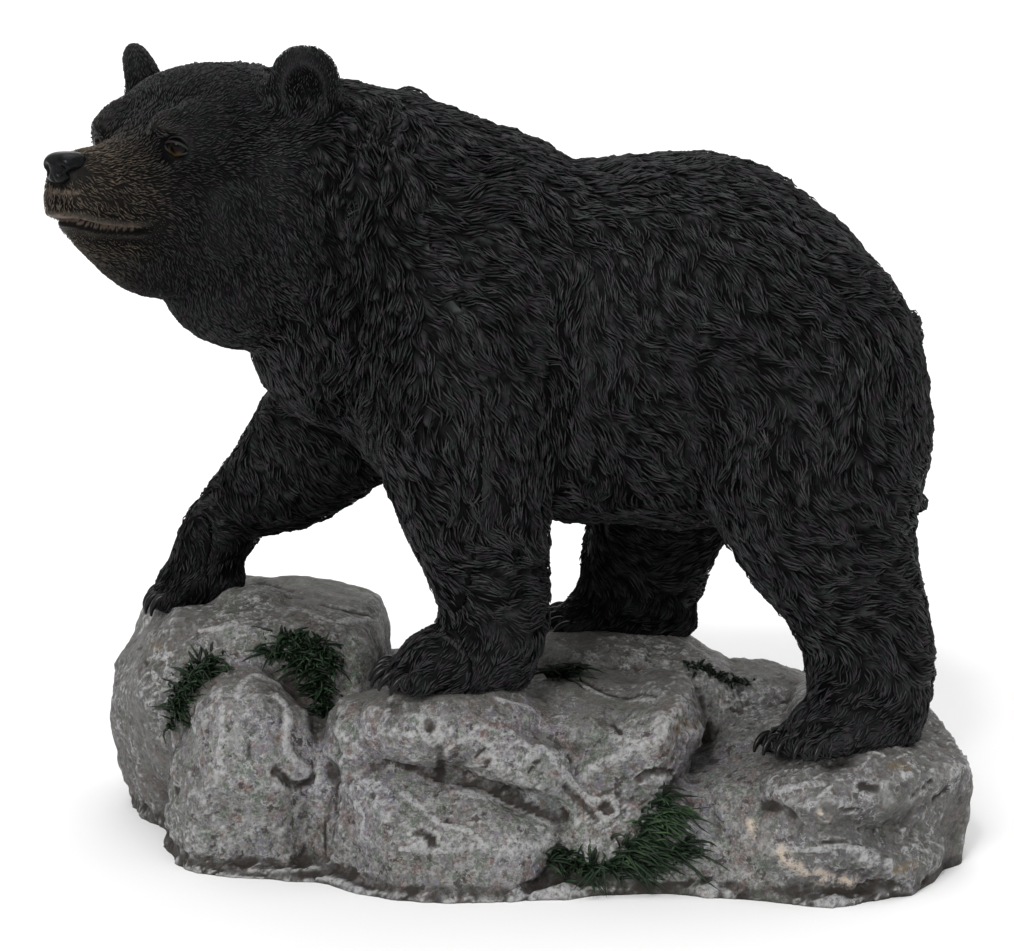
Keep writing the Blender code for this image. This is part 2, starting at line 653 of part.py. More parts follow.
def cut_soles(bear, rock):
    """Cuts the bear's soles to the rock's shape, with the glue line between them."""
    cutter = bpy.data.objects.new("rock_cutter", rock.data.copy())
    bpy.context.scene.collection.objects.link(cutter)
    cutter.hide_render = True
    cutter.display_type = "WIRE"
    grow = cutter.modifiers.new("glue line", "DISPLACE")
    grow.strength = BOND_GAP
    grow.mid_level = 0
    cut = bear.modifiers.new("soles", "BOOLEAN")
    cut.operation = "DIFFERENCE"
    cut.solver = "EXACT"
    cut.object = cutter


def paint(obj, colour, roughness):
    material = bpy.data.materials.new(obj.name)
    material.use_nodes = True
    shader = material.node_tree.nodes["Principled BSDF"]
    shader.inputs["Base Color"].default_value = (*colour, 1)
    shader.inputs["Roughness"].default_value = roughness
    shader.inputs["Metallic"].default_value = 0
    obj.data.materials.clear()
    obj.data.materials.append(material)


def shade(obj, angle):
    obj.data.polygons.foreach_set("use_smooth", [True] * len(obj.data.polygons))
    obj.data.set_sharp_from_angle(angle=math.radians(angle))


def main():
    clear_scene()
    rock = as_object("rock_bed", rock_clay())
    one_skin(rock, ROCK_VOXEL, ROCK_SOFTENING)
    carve_rock(rock)
    thinned(rock, ROCK_FACES)
    flat_foot(rock)
    bear = as_object("bear", bear_clay())
    one_skin(bear, BEAR_VOXEL, BEAR_SOFTENING)
    carve_bear(bear)
    thinned(bear, BEAR_FACES)
    bear.location.z = BEAR_RISE
    cut_soles(bear, rock)
    paint(bear, (0.018, 0.017, 0.017), 0.5)
    paint(rock, (0.22, 0.21, 0.21), 0.75)
    shade(bear, 40)
    shade(rock, 35)


main()
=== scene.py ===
import json
import math

import bmesh
import bpy
import numpy as np
from mathutils import Euler, Matrix, Vector, kdtree, noise

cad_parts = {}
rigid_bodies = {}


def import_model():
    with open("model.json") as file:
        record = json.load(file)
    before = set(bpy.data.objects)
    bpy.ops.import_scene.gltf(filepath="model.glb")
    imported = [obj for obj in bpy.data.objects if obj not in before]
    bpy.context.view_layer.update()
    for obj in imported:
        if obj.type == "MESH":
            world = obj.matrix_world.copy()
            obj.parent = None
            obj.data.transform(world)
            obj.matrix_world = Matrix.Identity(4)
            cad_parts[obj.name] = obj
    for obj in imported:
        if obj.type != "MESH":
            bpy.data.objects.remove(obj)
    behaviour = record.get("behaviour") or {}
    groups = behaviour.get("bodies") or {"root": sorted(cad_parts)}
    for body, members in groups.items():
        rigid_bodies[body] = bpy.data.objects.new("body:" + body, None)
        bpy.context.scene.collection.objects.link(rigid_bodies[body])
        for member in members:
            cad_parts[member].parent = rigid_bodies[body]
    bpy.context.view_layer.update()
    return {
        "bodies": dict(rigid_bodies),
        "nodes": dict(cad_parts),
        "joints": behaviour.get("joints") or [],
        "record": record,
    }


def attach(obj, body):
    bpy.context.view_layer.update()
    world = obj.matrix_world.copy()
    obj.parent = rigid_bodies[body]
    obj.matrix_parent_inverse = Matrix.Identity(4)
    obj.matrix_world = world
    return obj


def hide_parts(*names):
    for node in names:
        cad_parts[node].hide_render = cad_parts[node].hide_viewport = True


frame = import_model()
print("frame loaded")

# Everything on the figure is counted in shares of its size: one share is a millimetre here.
share = 0.001
headTurn = math.radians(50)
stand = 45.4  # height of the far forepaw's sole
soleSink = 1.8  # how deep a paw sits in its stone

# The photo is taken through this camera, and pixels in this script are its own.
photoSize = (1014, 951)
cameraLook = {
    "lens": 85,
    "sensor": 36,
    "elevation": math.radians(11),
    "distance": 0.52,
    "target": (0, 0, 0.0793),
    "nearest": 0.01,
}

# The bear's trunk: x, y, z of the middle, half width and half height of each oval, in shares.
trunkRows = [
    (-47, -1, 122, 12, 14),
    (-42, -1, 121.5, 21, 24),
    (-34, -1, 121, 27, 31),
    (-23, 0, 119.5, 31.5, 37),
    (-10, 0, 115.6, 34, 40.1),
    (6, 0, 110, 35, 37.5),
    (22, 0, 109.4, 36, 38.9),
    (40, 0, 108.3, 36.5, 41),
    (55, 0, 105.6, 35.5, 37),
    (66, 0, 104, 32.5, 31),
    (74.4, 0, 102.5, 27.5, 22.5),
    (80.7, 0, 101.6, 20, 14.4),
    (85, 0, 101, 9, 7),
]
neckRows = [
    (22, 0, 114, 14, 14),
    (10, 0, 116, 24, 24),
    (-3, 0, 121, 28.5, 29),
    (-18, -1, 129, 30, 30),
    (-32, -3, 134, 29, 29.3),
    (-44, -6, 138, 27.5, 28),
    (-54, -9, 141, 25, 23.5),
    (-62, -11, 143, 17, 15),
]
nearFrontLeg = [
    (-8, -7, 142, 7, 9),
    (-11, -13, 132, 15, 19),
    (-11, -17, 118, 18.5, 23),
    (-9.5, -20.5, 102, 19, 22.5),
    (-8, -22.5, 88, 17, 19.2),
    (-6, -24, 75, 14.5, 15.6),
    (-3.8, -25, 64, 12.4, 12.9),
    (-2.8, -25.5, 56, 11.3, 11.9),
    (-3.5, -26, 49, 10.8, 11.5),
    (-5, -26.5, 43, 9.5, 10),
]
farFrontLeg = [
    (-6, 8, 128, 8, 9),
    (-14, 13, 119, 16, 19),
    (-25, 17, 103, 17, 18.5),
    (-38.3, 20, 87.6, 15, 17.4),
    (-50.2, 21.5, 75.6, 12.5, 13.8),
    (-60.2, 22, 68.4, 10.5, 9.4),
    (-66.6, 22, 60.2, 9.6, 8.7),
    (-69.4, 22, 53.6, 9, 8.4),
]
nearHindLeg = [
    (55, -6, 128, 8, 12),
    (58, -13, 118, 17, 23),
    (61, -17.5, 102, 19.5, 26.5),
    (63.6, -20.5, 86, 18.5, 25.2),
    (66.8, -22.5, 71.5, 15.8, 19.8),
    (72, -24, 59, 13.2, 15.2),
    (75.6, -25, 48, 12, 13.8),
    (75.8, -26.5, 38, 11.4, 13.4),
    (74, -27, 32, 9.8, 12),
]
farHindLeg = [
    (50, 6, 122, 9, 13),
    (49, 13, 112, 17, 24),
    (45, 18, 95, 18.5, 24),
    (39.5, 21, 79, 16, 20),
    (34, 23, 64, 13.5, 16),
    (31, 24, 52, 12, 14.8),
    (29.6, 24.5, 44, 11, 13.8),
]
legs = (nearFrontLeg, farFrontLeg, nearHindLeg, farHindLeg)

# Clay laid on the lofts: middle, radii, and turn in degrees, in shares.
bodyMasses = [
    ((-36.2, 0, 112), (19.5, 25, 22), (0, 0, 0)),  # chest
    ((-56, -9, 123.2), (17, 21, 15), (0, 0, 30)),  # throat
    ((-21, 0, 134), (20.5, 19, 24.2), (0, 0, 0)),  # shoulder hump
    ((-13, -20, 112), (21, 15, 25), (0, 12, 0)),  # near shoulder
    ((-20, 19, 112), (20, 14, 24), (0, 25, 0)),  # far shoulder
    ((63, -17, 93), (24, 18, 27), (0, -8, 0)),  # near haunch
    ((56, 17, 95), (25, 17, 27), (0, -6, 0)),  # far haunch
    ((74, 0, 98), (12.3, 26.5, 22.4), (0, 0, 0)),  # rump
    ((84.5, 0, 109), (4.5, 5, 7.5), (0, 18, 0)),  # tail
    ((20, 0, 90.5), (34, 28, 21.3), (0, 0, 0)),  # belly
    ((-20.5, -1, 159.8), (3.4, 4.5, 3.4), (0, 0, 0)),  # tuft on the shoulders
    ((86.6, -17, 76.6), (2.6, 2.8, 2.2), (0, 0, 0)),  # tuft behind the haunch
]

# The head along its own forward axis: forward, top, bottom and half width, in shares.
earMiddle = Vector((-59.5, -6, 0))
headRows = [
    (-24, 155, 128, 13),
    (-17, 164.6, 119, 22),
    (-8, 168, 115.5, 26.5),
    (1, 168, 115.6, 26.5),
    (9, 166.4, 117.2, 23.5),
    (16, 163.5, 118.6, 19.5),
    (22, 159.3, 123.4, 15.2),
    (27, 155.5, 128, 12.9),
    (32, 153.4, 131.4, 11.1),
    (36.5, 152.7, 133, 9.9),
    (40.6, 152, 134.3, 8.5),
    (44.6, 149.8, 136.7, 5),
]
jawRows = [
    (12, 142, 118.8, 16),
    (18, 140, 119.4, 12.6),
    (23, 139, 120.8, 9.8),
    (28, 138.4, 123.6, 7.6),
    (32, 138, 126.6, 6.4),
    (36, 137.8, 129.6, 5.2),
    (39.5, 137.4, 132.2, 4.2),
    (42, 136.8, 134.4, 2.6),
]
# Masses of the head: forward, left and height of the middle, radii along the same axes, in shares, and on
# which sides it is: 1 as given, -1 mirrored.
headMasses = [
    ((7, 14, 137), (15, 11, 14), (1, -1)),  # cheeks
    ((12.5, 10.5, 153), (13, 9.5, 9.5), (1, -1)),  # temples
    ((3, 0, 156), (17, 23.5, 12.6), (1,)),  # crown
    ((2, 10, 157.4), (12, 11, 9.5), (1, -1)),  # sides of the crown
    ((21.5, 8.5, 156), (6, 4.5, 4), (1,)),  # near brow
    ((22, -8.6, 155), (5.5, 4.4, 4.4), (1,)),  # far brow
    ((39, 4.4, 141.5), (5.5, 4, 5.2), (1, -1)),  # lips
]
# An ear, upwards: height, how far its middle stands forward of its foot, half width and half thickness.
earLeft = 24
earForward = -0.6
earSplay = math.radians(40)
earHeights = {"foot": 153, "cup": 162.4, "fine": 165, "top": 166}
earRows = [
    (151, -0.6, 7.4, 5.8),
    (158, 0.3, 8.1, 5.6),
    (163, 0.8, 8.2, 5.4),
    (167, 1.6, 7.7, 4.5),
    (170.2, 2.3, 5.8, 3.1),
    (172.3, 2.7, 2.9, 1.9),
]

# The paws: middle of the sole, heading in degrees from -X towards the near side, lean towards that side,
# half length, half width, height at the wrist, in shares.
paws = {
    "nearFront": ((-11, -27.5, 39.7), 14, 4, 17, 11.5, 12),
    "farFront": ((-70.4, 21.5, stand + 1), 6, 0, 12, 10, 10),
    "nearHind": ((71, -31, 27), 32, 10, 18, 11.5, 12),
    "farHind": ((26, 26.5, 37), 4, 0, 18, 11, 12),
}
pawDip = {"farFront": math.radians(16)}  # how far the toes hang
# The two lumps of a paw against its own sizes: middle forward and up, then radii.
pawLumps = [((-0.08, 0.42), (0.86, 1, 0.78)), ((-0.62, 0.3), (0.42, 0.8, 0.55))]
toeCount = 5
toeRadii = (5.6, 2.55, 3.5)
toeFan = 0.16
knuckle = ((-5, 0.9, 4.6), (6, 2.4, 2.9))  # from its toe: back, share of its left, height, and radii

# The stones of the rock bed: middle, half sizes, turn in degrees, squareness, in shares. The last value is
# the boulder that a stone is part of: only different boulders have a cleft between them.
stones = [
    ((-57.4, 17, 21), (32.6, 29, 27.5), (0, -1, 4), 0.6, 0),  # left boulder
    ((-57, 24, 32.6), (29.2, 21, 16.2), (0, 2, -4), 0.5, 0),  # its upper block
    ((-55, -12, 16.5), (17.6, 20.5, 22.3), (0, 0, 0), 0.84, 1),  # standing egg stone
    ((-25, -21, 25), (14, 15, 13), (0, 0, 0), 0.8, 4),  # below the near fore paw
    ((-12.3, -28, 9.5), (25.6, 18.2, 15), (0, 5, -4), 0.76, 3),  # low middle stone
    ((2, -18, 25), (23, 24.5, 10), (0, 26, 6), 0.72, 4),  # slab that dips to the right
    ((27, -17, 24.5), (17.5, 25.5, 10), (0, -34, -6), 0.72, 4),  # slab that dips to the left
    ((13, -10, 26), (27, 25, 10.8), (0, 3, 0), 0.66, 4),  # the bed on top of the two
    ((6, -17, 17), (28, 20.5, 12), (0, 0, 0), 0.8, 4),  # its core
    ((25, 20, 19.5), (29, 26, 19.8), (0, 9, 0), 0.68, 5),  # below the far hind paw
    ((65.5, -9, 8), (30.2, 40, 18.5), (2, 3, -4), 0.76, 6),  # right boulder
    ((76, -9, 17.4), (21.6, 30, 14), (0, 1, 6), 0.52, 6),  # its upper block
    ((60, 20, 12), (26, 19, 19), (0, 6, -12), 0.75, 7),  # back right stone
    ((-20, 27, 14), (26, 17, 17), (0, 4, 4), 0.8, 8),  # back middle stone
    ((29, -30, 7), (24, 14, 14.5), (0, 0, 0), 0.85, 9),  # the hollow between the stones
    ((-35, -14, 8), (11, 17, 20), (0, 0, 0), 0.85, 9),  # between the egg stone and the low stone
    ((4, 2, 6), (80, 38, 14), (0, 0, 0), 0.8, 9),  # the ground that they lie in
    ((-58.5, 13.5, 45.6), (9.5, 7.5, 5.8), (0, 0, 0), 0.9, 0),  # against the far fore paw
]
# How far the foot of a boulder is drawn down, against its own half height: it stays wide to the ground.
stoneFeet = {0: 1.3, 1: 2.6, 3: 2.6, 6: 2.2, 9: 2}
# The foot of the rock bed, all round.
rimOutline = [
    (-86.5, 18), (-82, 4), (-76, -5), (-73.5, -18), (-68, -29), (-56, -34.5), (-40, -36.5), (-33, -42),
    (-24, -46.5), (-8, -48.5), (8, -46.5), (22, -44), (38, -44), (52, -47.5), (65, -51), (75, -47.5),
    (86, -39), (92, -24), (95.5, -6), (93, 14), (85, 30), (70, 38), (50, 42), (28, 46), (6, 46.5),
    (-14, 45), (-34, 47), (-56, 48), (-75, 43), (-84.5, 32),
]
chipCount = 9  # flat places on each stone
chipReach = (0.86, 0.96)  # how far out they lie, against the stone's own size
chipShare = 0.8  # how flat they are worn
stoneWave = 0.05  # how far its faces swell
stoneFloor = -5  # nothing of a stone reaches below this, in shares
filletSize = 1.3  # how softly stones run into each other, in shares
seatDepth = 9  # the stone bed under a paw, in shares
seatReach = (1.22, 1.35)  # its half length and half width, against the paw's


def smoothRows(rows, steps, closed=False):
    rows = np.array(rows, float)
    if closed:
        padded = np.vstack([rows[-1], rows, rows[0], rows[1]])
    else:
        padded = np.vstack([2 * rows[0] - rows[1], rows, 2 * rows[-1] - rows[-2]])
    out = []
    for i in range(len(padded) - 3):
        a, b, c, d = padded[i : i + 4]
        for t in np.arange(steps) / steps:
            bend = (2 * a - 5 * b + 4 * c - d) * t**2
            out.append(0.5 * (2 * b + (c - a) * t + bend + (3 * b - a - 3 * c + d) * t**3))
    if not closed:
        out.append(rows[-1])
    return out


def ringFrame(centre, tangent, sideWay, side, rise):
    n = Vector(tangent).normalized()
    s = (Vector(sideWay) - n * n.dot(Vector(sideWay))).normalized()
    u = n.cross(s)
    frame = Matrix((s * side, u * rise, n)).transposed().to_4x4()
    frame.translation = centre
    return frame


def edgesOf(verts):
    # Every edge at these vertices, once.
    return list(dict.fromkeys(e for v in verts for e in v.link_edges))


def extruded(bm, edges):
    # The vertices and the far edges that extruding these edges adds.
    grown = bmesh.ops.extrude_edge_only(bm, edges=edges)["geom"]
    verts = [g for g in grown if isinstance(g, bmesh.types.BMVert)]
    ends = [g for g in grown if isinstance(g, bmesh.types.BMEdge) and all(v in verts for v in g.verts)]
    return verts, ends


def loft(bm, rows, sideWay, steps=4, sides=24):
    # A closed tube through ovals: x, y, z, half width and half height of each, in shares.
    rows = [row * share for row in smoothRows(rows, steps)]
    centres = [Vector(row[:3]) for row in rows]
    frames = []
    for i, row in enumerate(rows):
        tangent = centres[min(i + 1, len(rows) - 1)] - centres[max(i - 1, 0)]
        frames.append(ringFrame(centres[i], tangent, sideWay, row[3], row[4]))
    start = bmesh.ops.create_circle(bm, segments=sides, radius=1, matrix=frames[0])["verts"]
    edges = edgesOf(start)
    caps = [edges]
    for before, after in zip(frames, frames[1:]):
        verts, edges = extruded(bm, edges)
        bmesh.ops.transform(bm, matrix=after @ before.inverted(), verts=verts)
    caps.append(edges)
    for cap in caps:
        bmesh.ops.contextual_create(bm, geom=cap)


def mass(bm, middle, radii, turn=Matrix.Identity(3), detail=3):
    place = Matrix.Translation(Vector(middle) * share) @ turn.to_4x4()
    size = Matrix.Diagonal((*[r * share for r in radii], 1))
    bmesh.ops.create_icosphere(bm, subdivisions=detail, radius=1, matrix=place @ size)


def degrees(turn):
    return Euler([math.radians(a) for a in turn]).to_matrix()


def headPlace(forward, left, height):
    c, s = math.cos(headTurn), math.sin(headTurn)
    return earMiddle + Vector((-forward * c + left * s, -forward * s - left * c, height))


def headWay(forward, left):
    return headPlace(forward, left, 0) - headPlace(0, 0, 0)


headMatrix = Matrix.Rotation(headTurn + math.pi, 3, "Z")


def head(bm):
    across = headWay(0, 1)
    for part in (headRows, jawRows):
        rows = []
        for forward, top, bottom, half in part:
            rows.append((*headPlace(forward, 0, (top + bottom) / 2), half, (top - bottom) / 2))
        loft(bm, rows, across)
    for (forward, left, height), radii, sides in headMasses:
        for side in sides:
            mass(bm, headPlace(forward, left * side, height), radii, headMatrix)


def earWay(side):
    return headWay(math.cos(earSplay), side * math.sin(earSplay)).normalized()


def earPlace(side, height):
    return headPlace(earForward, earLeft * side, height)


def ear(bm, side):
    way = earWay(side)
    foot = earPlace(side, 0)
    rows = []
    for height, lean, half, thick in earRows:
        rows.append((*(foot + way * lean + Vector((0, 0, height))), half, thick))
    loft(bm, rows, way.cross(Vector((0, 0, 1))))


def pawFrame(name):
    middle, heading, lean = paws[name][:3]
    turn = Matrix.Rotation(math.radians(heading + 180), 4, "Z") @ Matrix.Rotation(math.radians(lean), 4, "X")
    return Matrix.Translation(middle) @ turn @ Matrix.Rotation(pawDip.get(name, 0), 4, "Y")


def toeAt(name, i):
    # How far across its paw a toe stands, from -1 to 1, and its place forward and to the left.
    length, width, _ = paws[name][3:]
    across = 2 * i / (toeCount - 1) - 1
    return across, length - toeRadii[0] * (1 + 0.35 * across**2), across * (width - toeRadii[1] * 0.7)


def paw(bm, name):
    length, width, height = paws[name][3:]
    frame = pawFrame(name)
    turn = frame.to_3x3()
    for (ahead, up), (long, wide, high) in pawLumps:
        middle = frame @ Vector((ahead * length, 0, up * height))
        mass(bm, middle, (long * length, wide * width, high * height), turn)
    (back, inward, rise), radii = knuckle
    for i in range(toeCount):
        across, forward, left = toeAt(name, i)
        fan = Matrix.Rotation(across * toeFan, 3, "Z")
        mass(bm, frame @ Vector((forward, left, toeRadii[2] * 0.9)), toeRadii, turn @ fan)
        mass(bm, frame @ Vector((forward + back, left * inward, rise)), radii, turn @ fan)


def bearClay():
    bm = bmesh.new()
    across = (0, 1, 0)
    loft(bm, trunkRows, across)
    loft(bm, neckRows, across)
    for leg in legs:
        loft(bm, leg, across)
    for middle, radii, turn in bodyMasses:
        mass(bm, middle, radii, degrees(turn))
    head(bm)
    for side in (1, -1):
        ear(bm, side)
    for name in paws:
        paw(bm, name)
    bmesh.ops.recalc_face_normals(bm, faces=bm.faces)
    return bm


def stone(bm, middle, half, turn, square, foot, seed):
    made = bmesh.ops.create_icosphere(bm, subdivisions=5, radius=1)["verts"]
    chips = []
    for _ in range(chipCount):
        way = noise.random_unit_vector()
        chips.append((way, chipReach[0] + (chipReach[1] - chipReach[0]) * noise.random()))
    for v in made:
        way = v.co.normalized()
        v.co = [math.copysign(abs(c) ** square, c) for c in way]
        for chip, reach in chips:
            over = v.co.dot(chip) - reach
            if over > 0:
                v.co -= chip * over * chipShare
        v.co *= 1 + stoneWave * noise.fractal(way * 1.6 + Vector((seed * 7.3, 0, 0)), 1, 2, 3)
        if v.co.z < 0:
            v.co.z *= foot
    place = Matrix.Translation(Vector(middle) * share) @ degrees(turn).to_4x4()
    size = Matrix.Diagonal((*(Vector(half) * share), 1))
    bmesh.ops.transform(bm, matrix=place @ size, verts=made)
    for v in made:
        v.co.z = max(v.co.z, stoneFloor * share)


def seat(bm, name):
    length, width, _ = paws[name][3:]
    frame = pawFrame(name)
    middle = frame @ Vector((0.02 * length, 0, soleSink - seatDepth))
    mass(bm, middle, (seatReach[0] * length, seatReach[1] * width, seatDepth), frame.to_3x3())


def gapsTo(points):
    # How far each point is from each boulder, in shares.
    gaps = []
    for middle, half, turn, square, boulder in stones:
        local = (points / share - np.array(middle)) @ np.array(degrees(turn)) / np.array(half)
        local[:, 2] /= np.where(local[:, 2] < 0, stoneFeet.get(boulder, 1), 1)
        reach = (np.abs(local) ** (2 / square)).sum(axis=1) ** (square / 2)
        gaps.append((reach - 1) * sum(half) / 3)
    boulderOf = np.array([row[-1] for row in stones])
    return np.array([np.array(gaps)[boulderOf == boulder].min(axis=0) for boulder in sorted(set(boulderOf))])


def fillets(points):
    # How far a point is filled out where stones meet, in shares.
    gaps = gapsTo(points)
    gaps = gaps - gaps.min(axis=0)
    return filletSize * np.log(np.exp(-gaps / filletSize).sum(axis=0))


def seams(points):
    gaps = np.sort(gapsTo(points), axis=0)
    cleft = np.clip(1 - (gaps[1] - gaps[0]) / rockLook["seamWidth"], 0, 1)
    for name in paws:
        cleft *= eased(awayFrom(points / share, pawFrame(name).translation), *pawReach)
    return cleft * (points[:, 2] > 4 * share)


# Tools for meshes as arrays


def asObject(name, bm):
    mesh = bpy.data.meshes.new(name)
    bm.to_mesh(mesh)
    bm.free()
    made = bpy.data.objects.new(name, mesh)
    bpy.context.scene.collection.objects.link(made)
    return made


def oneSkin(obj, voxel, rounds):
    # Joins overlapping clay to one skin and softens its joins.
    remesh = obj.modifiers.new("one skin", "REMESH")
    remesh.mode = "VOXEL"
    remesh.voxel_size = voxel * share
    smooth = obj.modifiers.new("soft joins", "SMOOTH")
    smooth.factor = 0.5
    smooth.iterations = rounds
    graph = bpy.context.evaluated_depsgraph_get()
    obj.data = bpy.data.meshes.new_from_object(obj.evaluated_get(graph))
    obj.modifiers.clear()


def pointsOf(mesh):
    points = np.empty(len(mesh.vertices) * 3)
    mesh.vertices.foreach_get("co", points)
    normals = np.empty(len(mesh.vertices) * 3)
    mesh.vertex_normals.foreach_get("vector", normals)
    return points.reshape(-1, 3), normals.reshape(-1, 3)


def moveTo(mesh, points):
    mesh.vertices.foreach_set("co", np.ascontiguousarray(points, np.float32).ravel())
    mesh.update()


def addValue(mesh, name, values):
    layer = mesh.attributes.new(name, "FLOAT", "POINT")
    layer.data.foreach_set("value", np.ascontiguousarray(values, np.float32))


def cutOff(obj, place, way):
    # Cuts away what lies beyond a plane and closes the cut.
    bm = bmesh.new()
    bm.from_mesh(obj.data)
    everything = bm.verts[:] + bm.edges[:] + bm.faces[:]
    cut = bmesh.ops.bisect_plane(bm, geom=everything, plane_co=place, plane_no=way, clear_outer=True)
    rim = [g for g in cut["geom_cut"] if isinstance(g, bmesh.types.BMEdge)]
    bmesh.ops.edgeloop_fill(bm, edges=rim)
    bmesh.ops.triangulate(bm, faces=[f for f in bm.faces if len(f.verts) > 4])
    bmesh.ops.recalc_face_normals(bm, faces=bm.faces)
    bm.to_mesh(obj.data)
    bm.free()


def averaged(values, ends, rounds):
    # Each value drawn towards the mean of its neighbours, for some rounds.
    a, b = ends
    count = len(values)
    degree = np.bincount(a, minlength=count) + np.bincount(b, minlength=count)
    degree = np.maximum(degree, 1)
    out = values
    for _ in range(rounds):
        columns = []
        for column in np.atleast_2d(out.T):
            total = np.bincount(a, column[b], count) + np.bincount(b, column[a], count)
            columns.append(total / degree)
        out = np.array(columns).T.reshape(values.shape)
    return out


def endsOf(mesh):
    ends = np.empty(len(mesh.edges) * 2, np.int64)
    mesh.edges.foreach_get("vertices", ends)
    return ends.reshape(-1, 2).T


def eased(value, low, high):
    t = np.clip((value - low) / (high - low), 0, 1)
    return t * t * (3 - 2 * t)


def unit(rows):
    return rows / np.maximum(np.linalg.norm(rows, axis=-1, keepdims=True), 1e-12)


def awayFrom(places, spot):
    return np.linalg.norm(places - np.array(spot), axis=1)


def backOfCamera():
    return Vector((0, -math.cos(cameraLook["elevation"]), math.sin(cameraLook["elevation"])))


def seenOn(obj, pixels):
    # Places on an object, in shares, that show at these pixels of the photo.
    start = Vector(cameraLook["target"]) + backOfCamera() * cameraLook["distance"]
    up = Vector((0, math.sin(cameraLook["elevation"]), math.cos(cameraLook["elevation"])))
    reach = cameraLook["lens"] / cameraLook["sensor"] * photoSize[0]
    bpy.context.view_layer.update()
    places = []
    for across, down in pixels:
        way = up * (photoSize[1] / 2 - down) - backOfCamera() * reach
        way.x = across - photoSize[0] / 2
        hit, place, _, _ = obj.ray_cast(start, way.normalized())
        if hit:
            places.append(place / share)
    return places


def noiseAt(places, scale, shift):
    away = Vector((shift, shift * 0.7, -shift))
    return np.array([noise.noise(Vector(p) * scale + away) for p in places])


def smoothShaded(obj):
    obj.data.polygons.foreach_set("use_smooth", [True] * len(obj.data.polygons))


def piece(obj, material):
    obj.data.materials.clear()
    obj.data.materials.append(material)
    smoothShaded(obj)
    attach(obj, "root")
    return obj


def headAxes(points):
    # Forward, left and height of points given in shares, from the head's own axes.
    c, s = math.cos(headTurn), math.sin(headTurn)
    rel = points - np.array(earMiddle)
    return np.stack([-(rel[:, 0] * c + rel[:, 1] * s), rel[:, 0] * s - rel[:, 1] * c, points[:, 2]], axis=1)


def fromHead(rows):
    # Points in shares from forward, left and height on the head.
    c, s = math.cos(headTurn), math.sin(headTurn)
    x = earMiddle.x - rows[:, 0] * c + rows[:, 1] * s
    y = earMiddle.y - rows[:, 0] * s - rows[:, 1] * c
    return np.stack([x, y, rows[:, 2]], axis=1)


# Materials


def newMaterial(name, roughness, specular):
    made = bpy.data.materials.new(name)
    made.use_nodes = True
    tree = made.node_tree
    shader = tree.nodes["Principled BSDF"]
    shader.inputs["Roughness"].default_value = roughness
    shader.inputs["Specular IOR Level"].default_value = specular
    return made, tree, shader


def readAttribute(tree, name):
    made = tree.nodes.new("ShaderNodeAttribute")
    made.attribute_name = name
    return made.outputs["Fac"]


def noiseNode(tree, scale, detail=4.0, roughness=0.55):
    # Noise in the piece's own metres: `scale` is features to the metre.
    coords = tree.nodes.new("ShaderNodeTexCoord")
    made = tree.nodes.new("ShaderNodeTexNoise")
    made.inputs["Scale"].default_value = scale
    made.inputs["Detail"].default_value = detail
    made.inputs["Roughness"].default_value = roughness
    tree.links.new(coords.outputs["Object"], made.inputs["Vector"])
    return made.outputs["Fac"]


def stepped(tree, value, low, high, most=1.0, least=0.0):
    made = tree.nodes.new("ShaderNodeMapRange")
    made.interpolation_type = "SMOOTHSTEP"
    tree.links.new(value, made.inputs["Value"])
    made.inputs["From Min"].default_value = low
    made.inputs["From Max"].default_value = high
    made.inputs["To Min"].default_value = least
    made.inputs["To Max"].default_value = most
    return made.outputs["Result"]


def times(tree, a, b):
    made = tree.nodes.new("ShaderNodeMath")
    made.operation = "MULTIPLY"
    tree.links.new(a, made.inputs[0])
    if isinstance(b, float):
        made.inputs[1].default_value = b
    else:
        tree.links.new(b, made.inputs[1])
    return made.outputs["Value"]


def mixed(tree, amount, under, over):
    # Colour `over` laid on colour `under`, as far as the amount says.
    made = tree.nodes.new("ShaderNodeMix")
    made.data_type = "RGBA"
    tree.links.new(amount, made.inputs["Factor"])
    for colour, socket in ((under, made.inputs["A"]), (over, made.inputs["B"])):
        if isinstance(colour, tuple):
            socket.default_value = (*colour, 1)
        else:
            tree.links.new(colour, socket)
    return made.outputs["Result"]


def bumped(tree, shader, height, distance, strength=1.0, before=None):
    made = tree.nodes.new("ShaderNodeBump")
    made.inputs["Distance"].default_value = distance
    made.inputs["Strength"].default_value = strength
    tree.links.new(height, made.inputs["Height"])
    if before:
        tree.links.new(before, made.inputs["Normal"])
    tree.links.new(made.outputs["Normal"], shader.inputs["Normal"])
    return made.outputs["Normal"]


# The fur's paint: its tone runs from deep, a painted shade, through black to tip, a painted highlight.
furPaint = {
    "deep": (0.0009, 0.0009, 0.001),
    "black": (0.0055, 0.0059, 0.006),
    "tip": (0.0345, 0.0365, 0.037),
    "green": (0.011, 0.021, 0.0165),
    "violet": (0.023, 0.0135, 0.0215),
    "deepBrown": (0.0065, 0.0048, 0.0038),
    "brown": (0.128, 0.099, 0.069),
    "lip": (0.088, 0.058, 0.048),
    "paleFleck": (0.55, 0.62, 0.75),
    "yellowFleck": (0.6, 0.42, 0.15),
}


